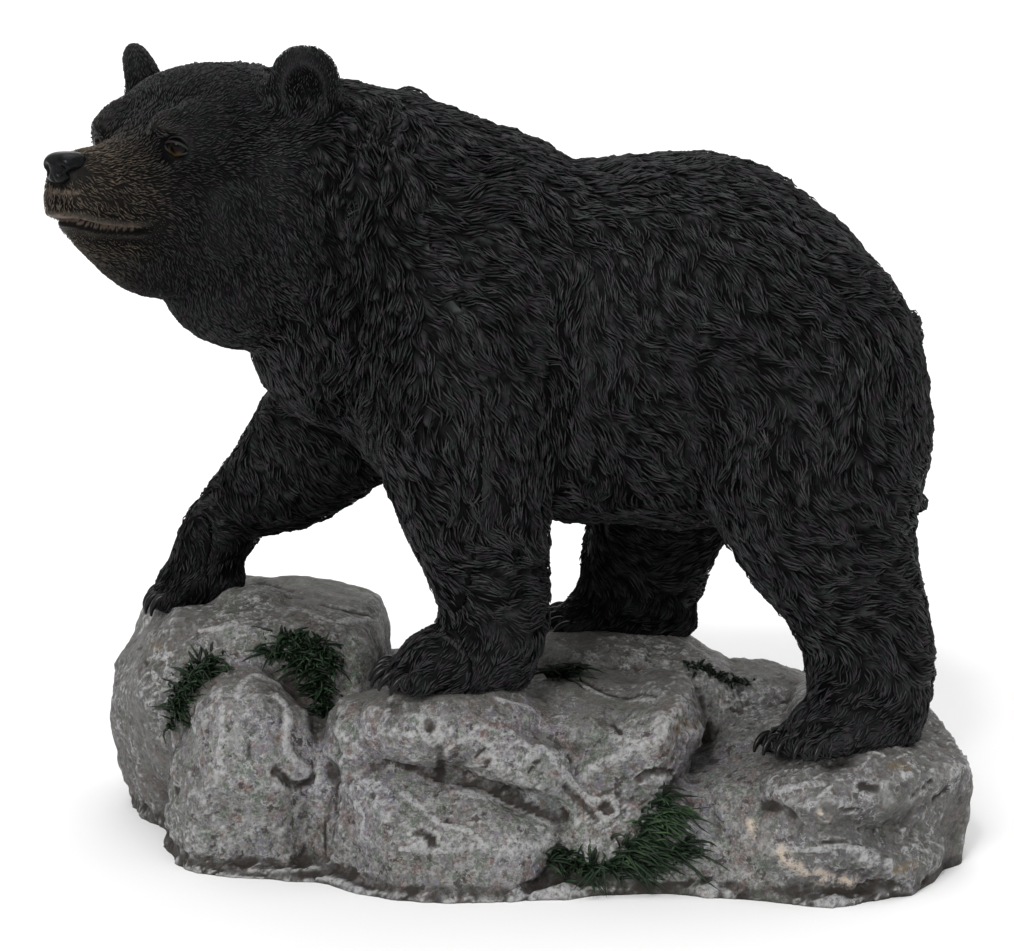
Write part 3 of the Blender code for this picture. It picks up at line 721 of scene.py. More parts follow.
def furMaterial():
    made, tree, shader = newMaterial("painted fur", 0.5, 0.2)
    tone = readAttribute(tree, "tone")
    brown = readAttribute(tree, "brown")
    # The tone carries painted light: deep black for painted shade, grey tips for painted highlight.
    colour = mixed(tree, stepped(tree, tone, 0.0, 0.5), furPaint["deep"], furPaint["black"])
    colour = mixed(tree, stepped(tree, tone, 0.35, 1.0), colour, furPaint["tip"])
    lit = stepped(tree, tone, 0.15, 0.6)
    for key, scale in (("green", 330), ("violet", 410), ("green", 900), ("violet", 1100)):
        patch = stepped(tree, noiseNode(tree, scale, 3.0), 0.49, 0.61, 0.6)
        colour = mixed(tree, times(tree, patch, lit), colour, furPaint[key])
    patch = stepped(tree, noiseNode(tree, 900), 0.35, 0.65, 1.0, 0.45)
    warm = mixed(tree, stepped(tree, tone, 0.15, 0.75), furPaint["deepBrown"], furPaint["brown"])
    colour = mixed(tree, times(tree, stepped(tree, brown, 0.0, 1.0), patch), colour, warm)
    colour = mixed(tree, stepped(tree, brown, 1.0, 1.8), colour, furPaint["lip"])
    fleck = readAttribute(tree, "fleck")
    colour = mixed(tree, stepped(tree, fleck, 0.4, 0.6), colour, furPaint["paleFleck"])
    colour = mixed(tree, stepped(tree, fleck, 1.4, 1.6), colour, furPaint["yellowFleck"])
    tree.links.new(colour, shader.inputs["Base Color"])
    sheen = stepped(tree, noiseNode(tree, 260), 0.3, 0.7, 0.62, 0.44)
    tree.links.new(sheen, shader.inputs["Roughness"])
    tree.links.new(stepped(tree, tone, 0.1, 0.9, 0.3, 0.05), shader.inputs["Specular IOR Level"])
    bumped(tree, shader, noiseNode(tree, 2600, 3.0), 0.00006)
    return made


glossLook = {
    # Dark and light paint, roughness, gloss, and grain to the metre.
    "nose": ((0.0028, 0.003, 0.0034), (0.0075, 0.008, 0.009), 0.25, 0.09, 1700),
    "eye": ((0.0014, 0.0011, 0.001), (0.003, 0.0022, 0.0018), 0.06, 0.08, 300),
    "claw": ((0.003, 0.0028, 0.0028), (0.009, 0.008, 0.0078), 0.3, 0.2, 1400),
}
irisPaint = (0.05, 0.031, 0.012)


def glossMaterial(name, iris=None):
    dark, light, roughness, gloss, grain = glossLook[name]
    made, tree, shader = newMaterial(name + " paint", roughness, gloss)
    colour = mixed(tree, stepped(tree, noiseNode(tree, 700), 0.4, 0.7), dark, light)
    if iris:
        colour = mixed(tree, readAttribute(tree, "iris"), colour, iris)
    tree.links.new(colour, shader.inputs["Base Color"])
    bumped(tree, shader, noiseNode(tree, grain, 3.0), 0.00005)
    return made


# The bear's skin

# The coarse skin and the fine one of the face: voxels and rounds of smoothing, how far forward the fine one
# and the fine fur begin, and then the locks, hollows and lines that are carved into both, in shares.
skinLook = {
    "voxel": 1.35,
    "rounds": 7,
    "faceVoxel": 0.6,
    "faceRounds": 42,
    "faceFrom": -9,
    "fineFrom": 5,
    "fineEar": 12,
    "sink": 0.16,
    "lockLength": 11.5,
    "lockWidth": 4.8,
    "lockDepth": 0.85,
    "lockSpacing": 3.8,
    "lockSwirl": 1.2,
    "maneDepth": 0.8,
    "furThickness": 0.55,
    "smallestLock": 0.1,
    "lockTaper": 0.25,
    "lockRise": 1.6,
    "lockFall": 2.4,
    "lockFacing": 0.2,
    "lockFoot": 0.35,
    "cup": 3.4,
    "socket": 1.0,
    "mouthDepth": 1.5,
    "mouthWidth": 0.45,
    "lip": 0.5,
    "lipHeight": 1.6,
    "lipWidth": 0.8,
    "lipPaint": (2.0, 0.95, 0.7),  # strength, height above the line, width
    "furrowWidth": 1.5,
    "furrowDepth": 1.5,
}
eyePlace = (24.8, 12, 151.5)  # forward, left and height on the head
cupRadii = (6.5, 4.8, 6)
socketRadii = (5.6, 3.8, 3.4)
# The swelling over an eye, from the eye's place, and the wing of a nostril: place, radii, push.
browSwelling = ((-1.5, -0.5, 4.6), (6.5, 4, 2.4), 0.5)
nostrilWing = ((40.6, 4.6, 145.6), (2.8, 1.6, 2.6), 0.7)
# The line of the mouth on the head: forward and height.
mouthLine = [(46, 137.8), (44, 137.5), (42.2, 137), (39, 136), (35, 135.4), (31.5, 135.1), (28.5, 135.3)]
# Folds of the skin behind the legs: middle, radii, lean in degrees, and depth.
folds = [
    ((10.5, -34, 100), (5, 12, 34), 4, 3),
    ((43, -36, 92), (4.5, 12, 26), -10, 2.4),
    ((4, 34, 100), (5, 12, 30), 14, 3),
    ((34, 36, 92), (4.5, 12, 26), -10, 2.4),
]
# Deep furrows of the mane, and flecks of paint with their kind (1 pale, 2 yellow) and reach, at pixels of
# the photo.
furrows = [
    [(352, 126), (351, 148), (347, 172), (341, 200)],
    [(388, 100), (389, 125), (384, 150), (379, 176)],
    [(366, 108), (368, 128), (366, 146)],
    [(412, 118), (410, 138), (404, 158)],
]
flecks = [((199, 186), 1, 0.4), ((241, 195), 1, 0.3), ((856, 410), 2, 0.45)]
# Where the lie of the fur changes, in shares: wholly within the first reach, not at all beyond the second.
faceReach = (32, 56)
earReach = (7, 14)
earFanReach = (9, 13)
pawReach = (12, 26)
headReach = (26, 42)
legHeights = (60, 86)
# How the fur hangs on the back, and by how much more on the sides and low down: strength, from, wholly at.
backFall = 0.12
sideFall = (1.0, 10, 30)
lowFall = (0.4, -120, -80)
# How the fur droops on the muzzle and the chin.
muzzleDroop = (0.45, -150, -128)
chinDroop = (1.3, (-28, -12), (-154, -138))
# Which way the fur lies down the legs, the mane and the toes, and how long it is on the paws.
legFlow = (0.9, 0, -0.42)
maneFlow = (-0.3, 0, -1)
maneShare = 0.8
toeFlow = (0.8, 0, -0.6)
pawFur = 0.15
# Where the mane lies: x of its middle, and from where to where it comes in before and behind that, away from
# the bear's middle and upwards. Then how much darker its fur is painted, as painted shade, and the painted
# shade inside the far legs.
mane = {"middle": -29, "reach": (-18, -6), "side": (8, 20), "height": (88, 108)}
manePaintedShade = 0.18
farLegPaintedShade = {"most": 0.2, "side": (2, 14), "height": (66, 92)}
# Waves in the lie of the fur: strength, waves to the share, shift.
furWaves = [(0.7, 0.045, 0), (0.75, 0.11, 0), (0.4, 0.3, 4)]
# Places on the head that the fur fans out from or shortens towards: forward, left and height.
faceMiddle = (8, 0, 144)
noseTip = (44, 0, 147)
muzzleMiddle = (36, 0, 144)


def ruffAt(places):
    # The mane of longer locks behind the ears and down the neck.
    x, y, z = places.T
    near = eased(-abs(x - mane["middle"]), *mane["reach"])
    return near * eased(abs(y), *mane["side"]) * eased(z, *mane["height"])


def furWays(places, normals):
    # The way that the fur lies at places given in shares.
    x, y, z = places.T
    fall = sideFall[0] * eased(abs(y), *sideFall[1:]) + lowFall[0] * eased(-z, *lowFall[1:])
    back = np.stack([np.ones_like(x), 0 * x, -backFall - fall], 1)
    leg = (1 - eased(z, *legHeights))[:, None]
    way = unit(back) * (1 - leg) + np.array(legFlow) * leg
    way += (np.array(maneFlow) - way) * maneShare * ruffAt(places)[:, None]
    nearHead = 1 - eased(awayFrom(places, headPlace(*faceMiddle)), *headReach)
    forward, _, height = headAxes(places).T
    fromNose = unit(places - np.array(headPlace(*noseTip)))
    fromNose[:, 2] -= muzzleDroop[0] * eased(-height, *muzzleDroop[1:])
    fromNose[:, 2] -= chinDroop[0] * eased(-forward, *chinDroop[1]) * eased(-height, *chinDroop[2])
    way += (unit(fromNose) - way) * nearHead[:, None]
    for side in (1, -1):
        nearEar = 1 - eased(awayFrom(places, earPlace(side, earHeights["top"])), *earFanReach)
        fan = unit(places - np.array(earPlace(side, earHeights["foot"])))
        way += (fan - way) * nearEar[:, None]
    for name in paws:
        frame = pawFrame(name)
        reach = awayFrom(places, frame.translation)
        toes = np.array(frame.to_3x3() @ Vector(toeFlow))
        way += (toes - way) * (1 - eased(reach, *pawReach))[:, None]
    way -= normals * (way * normals).sum(1, keepdims=True)
    return unit(way)


def furSizes(places):
    # How long the fur is, against the trunk's: short on the face, the ears and the paws.
    size = eased(awayFrom(places, headPlace(*muzzleMiddle)), *faceReach)
    for side in (1, -1):
        size = np.minimum(size, eased(awayFrom(places, earPlace(side, earHeights["top"])), *earReach))
    for name in paws:
        away = awayFrom(places, pawFrame(name).translation)
        size = np.minimum(size, pawFur + (1 - pawFur) * eased(away, *pawReach))
    return size


def swirled(ways, normals, places, strength):
    # Turns each way about its normal by slow noise, so that the fur runs in waves and curls.
    swirl = sum(most * noiseAt(places, scale, shift) for most, scale, shift in furWaves)
    turn = (swirl * strength)[:, None]
    return ways * np.cos(turn) + np.cross(normals, ways) * np.sin(turn)


def treeOf(points):
    tree = kdtree.KDTree(len(points))
    for i, point in enumerate(points):
        tree.insert(point, i)
    tree.balance()
    return tree


def spread(points, spacing, seed):
    # Indices of points that lie no closer together than the spacing at each.
    spacing = np.broadcast_to(spacing, len(points))
    tree = treeOf(points)
    taken = np.zeros(len(points), bool)
    kept = []
    for i in np.random.default_rng(seed).permutation(len(points)):
        if taken[i]:
            continue
        kept.append(i)
        for _, j, _ in tree.find_range(points[i], spacing[i]):
            taken[j] = True
    return np.array(kept)


def findLocks(points, normals):
    # Locks of fur: middle, normal, way, half sizes, bend and depth of each, in shares.
    places = points / share
    chosen = spread(places, skinLook["lockSpacing"], 5)
    plainWays = furWays(places[chosen], normals[chosen])
    ways = swirled(plainWays, normals[chosen], places[chosen], skinLook["lockSwirl"])
    sizes = furSizes(places[chosen])
    depths = skinLook["lockDepth"] * sizes * (1 + skinLook["maneDepth"] * ruffAt(places[chosen]))
    found = []
    for i, way, size, depth in zip(chosen, ways, sizes, depths):
        if size < skinLook["smallestLock"]:
            continue
        place = Vector(places[i])
        halfLength = skinLook["lockLength"] / 2 * (0.45 + 0.55 * size)
        halfLength *= 0.8 + 0.4 * noise.noise(place * 0.9)
        halfWidth = skinLook["lockWidth"] / 2 * (0.6 + 0.4 * size)
        bend = 0.5 * noise.noise(place * 0.31 + Vector((9, 0, 0)))
        found.append((places[i], normals[i], way, halfLength, halfWidth, bend, depth))
    return found


def raiseLocks(points, normals, locks):
    # How far each point is raised by the locks over it, in metres, less what the fur adds.
    places = points / share
    tree = treeOf(places)
    raised = np.zeros(len(points))
    for middle, normal, way, halfLength, halfWidth, bend, depth in locks:
        near = [j for _, j, _ in tree.find_range(middle, halfLength * 1.1)]
        if not near:
            continue
        step = places[near] - middle
        along = step @ way / halfLength
        aside = step @ np.cross(normal, way) / halfWidth + bend * along**2 * 2
        width = np.sqrt(np.clip(1 - along**2, 0, 1)) * (1 - skinLook["lockTaper"] * along)
        body = np.clip(1 - (aside / np.maximum(width, 0.05)) ** 2, 0, 1)
        lift = np.clip((along + 1) / skinLook["lockRise"], 0, 1)
        lift = lift * np.clip((1 - along) * skinLook["lockFall"], 0, 1)
        facing = normals[near] @ normal > skinLook["lockFacing"]
        raised[near] = np.maximum(raised[near], depth * body * lift * facing * (np.abs(along) < 1))
    return (raised - skinLook["lockFoot"] * skinLook["lockDepth"] - skinLook["furThickness"]) * share


def eyeAt(side, forward=0.0, left=0.0, up=0.0):
    # The place of an eye, or one that is this far from it.
    return headPlace(eyePlace[0] + forward, (eyePlace[1] + left) * side, eyePlace[2] + up)


def dent(points, middle, radii, turn, push):
    local = (points / share - np.array(middle)) @ np.array(turn) / np.array(radii)
    depth = np.clip(1 - (local**2).sum(axis=1), 0, 1) ** 1.5
    return depth[:, None] * np.array(push) * share


def alongLine(rows, line, steps=6):
    # Distance from each row to a line through points, and how far along it the nearest place is.
    line = np.array(smoothRows(line, steps))
    away = np.full(len(rows), 1e9)
    part = np.zeros(len(rows))
    for i, (a, b) in enumerate(zip(line, line[1:])):
        t = np.clip(((rows - a) @ (b - a)) / ((b - a) @ (b - a)), 0, 1)
        reach = np.linalg.norm(rows - a - t[:, None] * (b - a), axis=1)
        closer = reach < away
        away[closer] = reach[closer]
        part[closer] = (i + t[closer]) / (len(line) - 1)
    return away, part


def mouthAway(places):
    # How far each place on the face is above the line of the mouth, in shares, and how far back along it,
    # from 0 at the front to 1 at its corner.
    forward, _, height = headAxes(places).T
    line = np.array(mouthLine)[::-1]
    above = height - np.interp(forward, line[:, 0], line[:, 1])
    return above, (line[-1, 0] - forward) / (line[-1, 0] - line[0, 0])


def mouthEnds(part):
    # 1 along the mouth, falling to 0 at its corner.
    return np.clip((1 - part) * 4, 0, 1)


def carveMouth(points, normals):
    above, part = mouthAway(points / share)
    ends = mouthEnds(part)
    groove = np.exp(-((above / skinLook["mouthWidth"]) ** 2)) * skinLook["mouthDepth"] * ends
    lip = np.exp(-(((np.abs(above) - skinLook["lipHeight"]) / skinLook["lipWidth"]) ** 2))
    lip = lip * skinLook["lip"] * np.where(above > 0, 1, 0.5) * ends
    return normals * ((lip - groove) * share)[:, None]


def furrowDepth(places):
    # How deep the furrows of the mane are at each place, in shares.
    depth = np.zeros(len(places))
    for line in furrowLines:
        away, part = alongLine(places, line)
        ends = np.clip(part * 5, 0, 1) * np.clip((1 - part) * 5, 0, 1)
        depth += np.exp(-((away / skinLook["furrowWidth"]) ** 2)) * skinLook["furrowDepth"] * ends
    return depth


def carvedSkin(points, normals, locks):
    moved = points + normals * raiseLocks(points, normals, locks)[:, None]
    moved -= normals * (furrowDepth(points / share) * share)[:, None]
    forward = headWay(1, 0)
    for side in (1, -1):
        way = earWay(side)
        cup = earPlace(side, earHeights["cup"]) + way * 5
        earTurn = Matrix.Rotation(math.atan2(way.y, way.x), 3, "Z")
        moved += dent(points, cup, cupRadii, earTurn, -way * skinLook["cup"])
        left = headWay(0, side)
        moved += dent(points, eyeAt(side), socketRadii, headMatrix, -(left + forward) * skinLook["socket"])
        away, radii, push = browSwelling
        moved += dent(points, eyeAt(side, *away), radii, headMatrix, (left + forward) * push)
        (ahead, aside, up), radii, push = nostrilWing
        moved += dent(points, headPlace(ahead, aside * side, up), radii, headMatrix, left * push)
    moved += carveMouth(points, normals)
    for middle, radii, lean, depth in folds:
        inward = -math.copysign(depth, middle[1])
        moved += dent(points, middle, radii, degrees((0, lean, 0)), (0, inward, 0))
    return moved


# Spots of brown on the muzzle: forward and height, reach along and up, and strength.
brownSpots = {
    "behindNose": (37, 150, 3, 4, 0.5),
    "streak": (31.5, 132.2, 2.4, 0.7, 1.3),
    "underNose": (44, 143.6, 2, 1.1, 1.5),
}
faceHalf = 18  # how far to the side of the head's middle the brown can lie


def brownAt(places):
    # Where the muzzle is painted brown: all round the nose and over the chin, fading towards the eye. Above 1
    # it is the pink of the lips.
    forward, left, height = headAxes(places).T
    muzzle = eased(forward, 18, 36) * (0.55 + 0.45 * eased(height, 127, 136))
    spots = {}
    for name, (ahead, up, long, high, most) in brownSpots.items():
        spots[name] = most * np.exp(-(((forward - ahead) / long) ** 2) - ((height - up) / high) ** 2)
    out = np.clip(0.8 * muzzle + spots["behindNose"], 0, 1)
    above, part = mouthAway(places)
    most, middle, width = skinLook["lipPaint"]
    lips = most * np.exp(-(((above - middle) / width) ** 2)) * mouthEnds(part)
    return np.maximum.reduce([out, lips, spots["streak"], spots["underNose"]]) * (np.abs(left) < faceHalf)


# The tone of the skin under the fur: on the flat, how hollows darken it as painted shade, its most, and its
# tone on the lips and at the line of the mouth, where it is darkened as painted shade.
skinTone = {"rounds": 6, "flat": 0.16, "hollow": 1.2, "most": 0.5, "lip": 0.7, "mouth": (0.3, 0.6)}
lipEdge = (1.0, 1.3)
skinBrown = 0.6


def finishSkin(obj):
    # Sinks the skin under its fur and paints it: painted shade in the hollows and at the mouth's line, pink
    # on the lips.
    points, normals = pointsOf(obj.data)
    smooth = averaged(points, endsOf(obj.data), skinTone["rounds"])
    hollow = ((smooth - points) * normals).sum(1) / share
    above, part = mouthAway(points / share)
    mouth = np.where(part < 1, np.abs(above), 9)
    brown = brownAt(points / share)
    lip = eased(brown, *lipEdge)
    # Painted shade: the skin is darker in its hollows and along the line of the mouth.
    tone = np.clip(skinTone["flat"] - skinTone["hollow"] * hollow, 0, skinTone["most"])
    tone = np.maximum(tone, skinTone["lip"] * lip)
    addValue(obj.data, "tone", tone * eased(mouth, *skinTone["mouth"]))
    addValue(obj.data, "brown", np.maximum(brown * skinBrown, brown * lip))
    sunk = skinLook["sink"] * (0.25 + 0.75 * furSizes(points / share)) * (1 - lip)
    moveTo(obj.data, points - normals * (sunk * share)[:, None])


furFinish = furMaterial()
bearSkin = asObject("bearSkin", bearClay())
bearFace = asObject("bearFace", bearClay())
oneSkin(bearSkin, skinLook["voxel"], skinLook["rounds"])
oneSkin(bearFace, skinLook["faceVoxel"], skinLook["faceRounds"])
faceWay = headWay(1, 0)
skinPoints, skinNormals = pointsOf(bearSkin.data)
furrowLines = [seenOn(bearSkin, line) for line in furrows]
fleckSpots = [(np.array(seenOn(bearSkin, [pixel])[0]), kind, reach) for pixel, kind, reach in flecks]
locks = findLocks(skinPoints, skinNormals)
moveTo(bearSkin.data, carvedSkin(skinPoints, skinNormals, locks))
cutOff(bearFace, headPlace(skinLook["faceFrom"] - 1, 0, 140) * share, -faceWay)
facePoints, faceNormals = pointsOf(bearFace.data)
moveTo(bearFace.data, carvedSkin(facePoints, faceNormals, locks))
print("skin carved, locks", len(locks))


# Fur

# The long fur and the fine fur of the face and ears, in shares: how close it grows, the size of a strand, how
# it swirls and clumps, points along a strand, strands to a piece, and how short and close it is at its
# shortest. Turns are in radians.
bodyFur = {
    "spacing": 0.82,
    "length": 4.5,
    "halfWidth": 0.245,
    "lift": 0.36,
    "swirl": 1.25,
    "jitter": 0.15,
    "clumpSpacing": 2.3,
    "clumpTurn": 0.24,
    "clumpBend": 0.5,
    "clumpLift": 0.2,
    "pull": 0.5,
    "rings": 4,
    "perPiece": 15000,
    "shortest": 0.5,
    "closest": 0.66,
    "tone": 0.12,
}
faceFur = {
    "spacing": 0.47,
    "length": 1.8,
    "halfWidth": 0.165,
    "lift": 0.24,
    "swirl": 0.7,
    "jitter": 0.16,
    "clumpSpacing": 1.4,
    "clumpTurn": 0.2,
    "clumpBend": 0.4,
    "clumpLift": 0.1,
    "pull": 0.35,
    "rings": 3,
    "perPiece": 30000,
    "shortest": 0.85,
    "closest": 1.0,
    "tone": 0.22,
    "cheek": (-26, -8),
    "cheekLonger": 0.45,
    "longer": 0.4,
    "earFrom": 160,
    "earOut": 14,
    "onEar": 0.75,
}


strand = {
    # Along a strand, from its root: how it lifts off the skin, how its clump lifts it, and how wide it is.
    "lift": ([0, 0.2, 0.7, 1], [-0.55, 0.15, 0.9, 0.8]),
    "rise": ([0, 0.6, 1], [0, 1, 0.8]),
    "girth": ([0, 0.25, 0.6, 1], [0.5, 1, 0.95, 0.25]),
    # Random shares of its length, height, width and brown.
    "lengths": (0.75, 1.2),
    "heights": (0.3, 1.0),
    "widths": (0.7, 1.25),
    "browns": (0.6, 1.2),
    # Lighter or darker by chance and with its clump, and the painted highlight in its clump's middle and at
    # its tip.
    "ownTone": 0.2,
    "clumpTone": 0.1,
    "crestHighlight": 0.15,
    "tipHighlight": 0.5,
    "crestHeight": 0.5,
    "pullCurve": 1.3,
    "straight": 0.3,
    "thick": 0.95,
}
spareTries = 3.2  # how many more places are tried than are needed


def sliverTemplate(rings):
    # A closed three-sided sliver: a triangle extruded ring by ring and drawn to a point at both ends.
    bm = bmesh.new()
    start = bmesh.ops.create_circle(bm, segments=3, radius=1, matrix=Matrix.Translation((0, 0, 1)))["verts"]
    first = edgesOf(start)
    edges = first
    for ring in range(2, rings - 1):
        verts, edges = extruded(bm, edges)
        bmesh.ops.translate(bm, vec=(0, 0, 1), verts=verts)
    for end, height in ((edges, rings - 1), (first, 0)):
        verts, _ = extruded(bm, end)
        bmesh.ops.pointmerge(bm, verts=verts, merge_co=(0, 0, height))
    bmesh.ops.recalc_face_normals(bm, faces=bm.faces)
    return bm


def manyOf(template, count):
    # The template repeated, by doubling.
    bm = template.copy()
    size = len(bm.verts)
    while len(bm.verts) < count * size:
        bmesh.ops.duplicate(bm, geom=bm.verts[:] + bm.edges[:] + bm.faces[:])
    bm.verts.ensure_lookup_table()
    bmesh.ops.delete(bm, geom=bm.verts[count * size:], context="VERTS")
    return bm


def slivers(name, template, paths, ups, halfWidths, thicks, values):
    # One sliver along each path. Paths and ups are (count, rings, 3), in shares.
    shape = np.array([v.co for v in template.verts])
    ring = np.rint(shape[:, 2]).astype(int)
    along = unit(np.gradient(paths, axis=1))
    across = unit(np.cross(ups, along))
    wide = (shape[:, 0] * halfWidths[:, ring])[..., None]
    high = (shape[:, 1] * thicks[:, ring])[..., None]
    made = asObject(name, manyOf(template, len(paths)))
    rows = paths[:, ring] + across[:, ring] * wide + ups[:, ring] * high
    moveTo(made.data, (rows * share).reshape(-1, 3))
    for key, value in values.items():
        addValue(made.data, key, value[:, ring].ravel())
    return made


def scatter(obj, spacing, seed, sizeOf):
    # Evenly spread places on a surface, closer together where the fur is short.
    mesh = obj.data
    mesh.calc_loop_triangles()
    points, _ = pointsOf(mesh)
    corners = np.empty(len(mesh.loop_triangles) * 3, np.int64)
    mesh.loop_triangles.foreach_get("vertices", corners)
    a, b, c = points[corners.reshape(-1, 3)].transpose(1, 0, 2) / share
    area = np.linalg.norm(np.cross(b - a, c - a), axis=1) / 2
    random = np.random.default_rng(seed)
    chosen = random.choice(len(area), int(area.sum() / spacing**2 * spareTries), p=area / area.sum())
    u, v = random.random((2, len(chosen)))
    over = u + v > 1
    u[over] = 1 - u[over]
    v[over] = 1 - v[over]
    places = a[chosen] * (1 - u - v)[:, None] + b[chosen] * u[:, None] + c[chosen] * v[:, None]
    return places[spread(places, spacing * sizeOf(places), seed + 1)]


def nearestOf(tree, places):
    return np.array([tree.find(p)[1] for p in places.reshape(-1, 3)]).reshape(places.shape[:-1])


def furField():
    # The whole bear's surface and the lie of its fur: from the fine mesh on the face, the other elsewhere.
    rows = []
    for obj, side in ((bearSkin, -1), (bearFace, 1)):
        points, normals = pointsOf(obj.data)
        beyond = (headAxes(points / share)[:, 0] - skinLook["faceFrom"]) * side
        rows.append((points[beyond > -0.3] / share, normals[beyond > -0.3]))
    places = np.vstack([row[0] for row in rows])
    normals = np.vstack([row[1] for row in rows])
    return places, normals, furWays(places, normals), treeOf(places)


def laidOnSkin(field, path):
    # Points moved onto the skin, and the way up at each.
    places, normals, _, tree = field
    near = nearestOf(tree, path)
    ups = normals[near]
    return path - ups * ((path - places[near]) * ups).sum(-1, keepdims=True), ups


def traced(field, ways, roots, lengths, turns, bends, steps):
    # Paths that start at the roots and follow the lie of the fur over the surface, turned and bent from it.
    _, normals, _, tree = field
    path = [roots]
    now = roots
    for k in range(steps):
        near = nearestOf(tree, now)
        turn = (turns + bends * (k / steps - strand["straight"]))[:, None]
        way = ways[near] * np.cos(turn) + np.cross(normals[near], ways[near]) * np.sin(turn)
        now, _ = laidOnSkin(field, now + way * (lengths / steps)[:, None])
        path.append(now)
    return np.stack(path, 1)


def paintedShadeAt(places):
    # How much darker the fur is painted, as painted shade: in the mane, and inside the far legs.
    x, y, z = places.T
    far = farLegPaintedShade["most"] * eased(y, *farLegPaintedShade["side"]) * (1 - eased(z, *farLegPaintedShade["height"]))
    return manePaintedShade * ruffAt(places) + far


def fleckAt(places):
    out = np.zeros(len(places))
    for spot, kind, reach in fleckSpots:
        out = np.maximum(out, kind * (awayFrom(places, spot) < reach))
    return out


def clumpsOf(look, roots, sizes, seed, random):
    # The strands of a clump turn, bend and rise together: the clumps' middles, the clump of each strand, and
    # how each clump turns, bends, rises and is toned.
    middles = spread(roots, look["clumpSpacing"] * (0.5 + 0.5 * sizes), seed + 2)
    mine = nearestOf(treeOf(roots[middles]), roots)
    turns = random.normal(0, look["clumpTurn"], len(middles))
    bends = random.normal(0, look["clumpBend"], len(middles))
    lifts = random.uniform(0, look["clumpLift"], len(middles))
    return middles, mine, turns, bends, lifts, random.normal(0, strand["clumpTone"], len(middles))


def strandHeights(look, t, sizes, crest, clumpLifts, random):
    # How high each strand stands off the skin along its length, in shares.
    own = random.uniform(*strand["heights"], len(sizes)) + strand["crestHeight"] * crest
    height = np.interp(t, *strand["lift"]) * look["lift"] * own[:, None]
    height += np.interp(t, *strand["rise"]) * clumpLifts[:, None]
    return height * (0.45 + 0.55 * sizes)[:, None]


def strandPaint(look, t, roots, crest, clumpTones, random):
    # What the paint of the fur reads along each strand, with its painted highlight and painted shade.
    # Painted highlight on the middle of a clump.
    ownTone = np.abs(random.normal(0, strand["ownTone"], len(roots))) + strand["crestHighlight"] * crest
    # Painted shade in the mane and inside the far legs.
    ownTone = ownTone + clumpTones - paintedShadeAt(roots)
    # Painted highlight towards the tip.
    tone = look["tone"] + strand["tipHighlight"] * t + ownTone[:, None]
    brown = brownAt(roots) * random.uniform(*strand["browns"], len(roots))
    whole = np.ones_like(tone)
    return {
        "tone": np.clip(tone, 0, 1),
        "brown": whole * brown[:, None],
        "fleck": whole * fleckAt(roots)[:, None],
    }


def growFur(name, field, look, roots, sizes, seed):
    places, normals, plainWays, _ = field
    ways = swirled(plainWays, normals, places, look["swirl"])
    random = np.random.default_rng(seed)
    steps = look["rings"] - 1
    lengths = look["length"] * sizes * random.uniform(*strand["lengths"], len(roots))
    middles, mine, clumpTurns, clumpBends, clumpLifts, clumpTones = clumpsOf(look, roots, sizes, seed, random)
    turns = clumpTurns[mine] + random.normal(0, look["jitter"], len(roots))
    paths = traced(field, ways, roots, lengths, turns, clumpBends[mine], steps)
    clumps = traced(field, ways, roots[middles], lengths[middles], clumpTurns, clumpBends, steps)
    apart = np.linalg.norm(roots - roots[middles][mine], axis=1)
    t = np.linspace(0, 1, steps + 1)
    paths = paths + (clumps[mine] - paths) * (look["pull"] * t ** strand["pullCurve"])[:, None]
    # Strands that lie over the nose, an eye or the mouth are left out.
    clear = ~bareFace(paths.reshape(-1, 3)).reshape(len(roots), -1)[:, 1:].any(axis=1)
    paths, roots, sizes, mine, apart = (rows[clear] for rows in (paths, roots, sizes, mine, apart))
    paths, ups = laidOnSkin(field, paths)
    crest = np.clip(1 - apart / look["clumpSpacing"], 0, 1)
    paths = paths + ups * strandHeights(look, t, sizes, crest, clumpLifts[mine], random)[..., None]
    halfWidths = look["halfWidth"] * (0.5 + 0.5 * sizes) * random.uniform(*strand["widths"], len(roots))
    halfWidths = np.interp(t, *strand["girth"]) * halfWidths[:, None]
    values = strandPaint(look, t, roots, crest, clumpTones[mine], random)
    template = sliverTemplate(look["rings"])
    for i, start in enumerate(range(0, len(roots), look["perPiece"])):
        part = slice(start, start + look["perPiece"])
        own = {key: rows[part] for key, rows in values.items()}
        wide = halfWidths[part]
        made = slivers(f"{name}{i + 1}", template, paths[part], ups[part], wide, wide * strand["thick"], own)
        piece(made, furFinish)
    template.free()
    print(name, len(roots), "strands")


# The bare strip along the mouth, and how short the fur beside it is.
bareMouth = {"below": 0.35, "above": 1.4, "narrower": 0.7, "end": 0.95}
mouthFur = {"shortest": 0.22, "reach": (1.0, 4.2), "end": 1.1}


def bareFace(places):
    # True where no fur grows on the face: the nose, the eyes and the line of the mouth.
    local = (headAxes(places) - np.array(noseLook["middle"])) / np.array(noseLook["radii"])
    bare = (local**2).sum(axis=1) < noseLook["bare"]
    for side in (1, -1):
        bare |= awayFrom(places, eyeAt(side)) < eyeLook["bare"]
    above, part = mouthAway(places)
    top = bareMouth["above"] - bareMouth["narrower"] * part
    return bare | ((above > -bareMouth["below"]) & (above < top) & (part < bareMouth["end"]))


def mouthShort(places):
    # Fur is shorter beside the mouth, so that its line stays open.
    above, part = mouthAway(places)
    beside = np.where(part < mouthFur["end"], np.abs(above), mouthFur["reach"][1])
    return mouthFur["shortest"] + (1 - mouthFur["shortest"]) * eased(beside, *mouthFur["reach"])


noseLook = {"middle": (42.2, 0, 148.2), "radii": (3.5, 4.3, 3.2), "boxed": 0.68, "bare": 1.1}
# How much narrower the nose is below, how far its top slopes back, and its groove: width, top and depth.
noseTaper = 0.34
noseSlope = 0.16
noseGroove = (0.09, 0.4, 0.14)
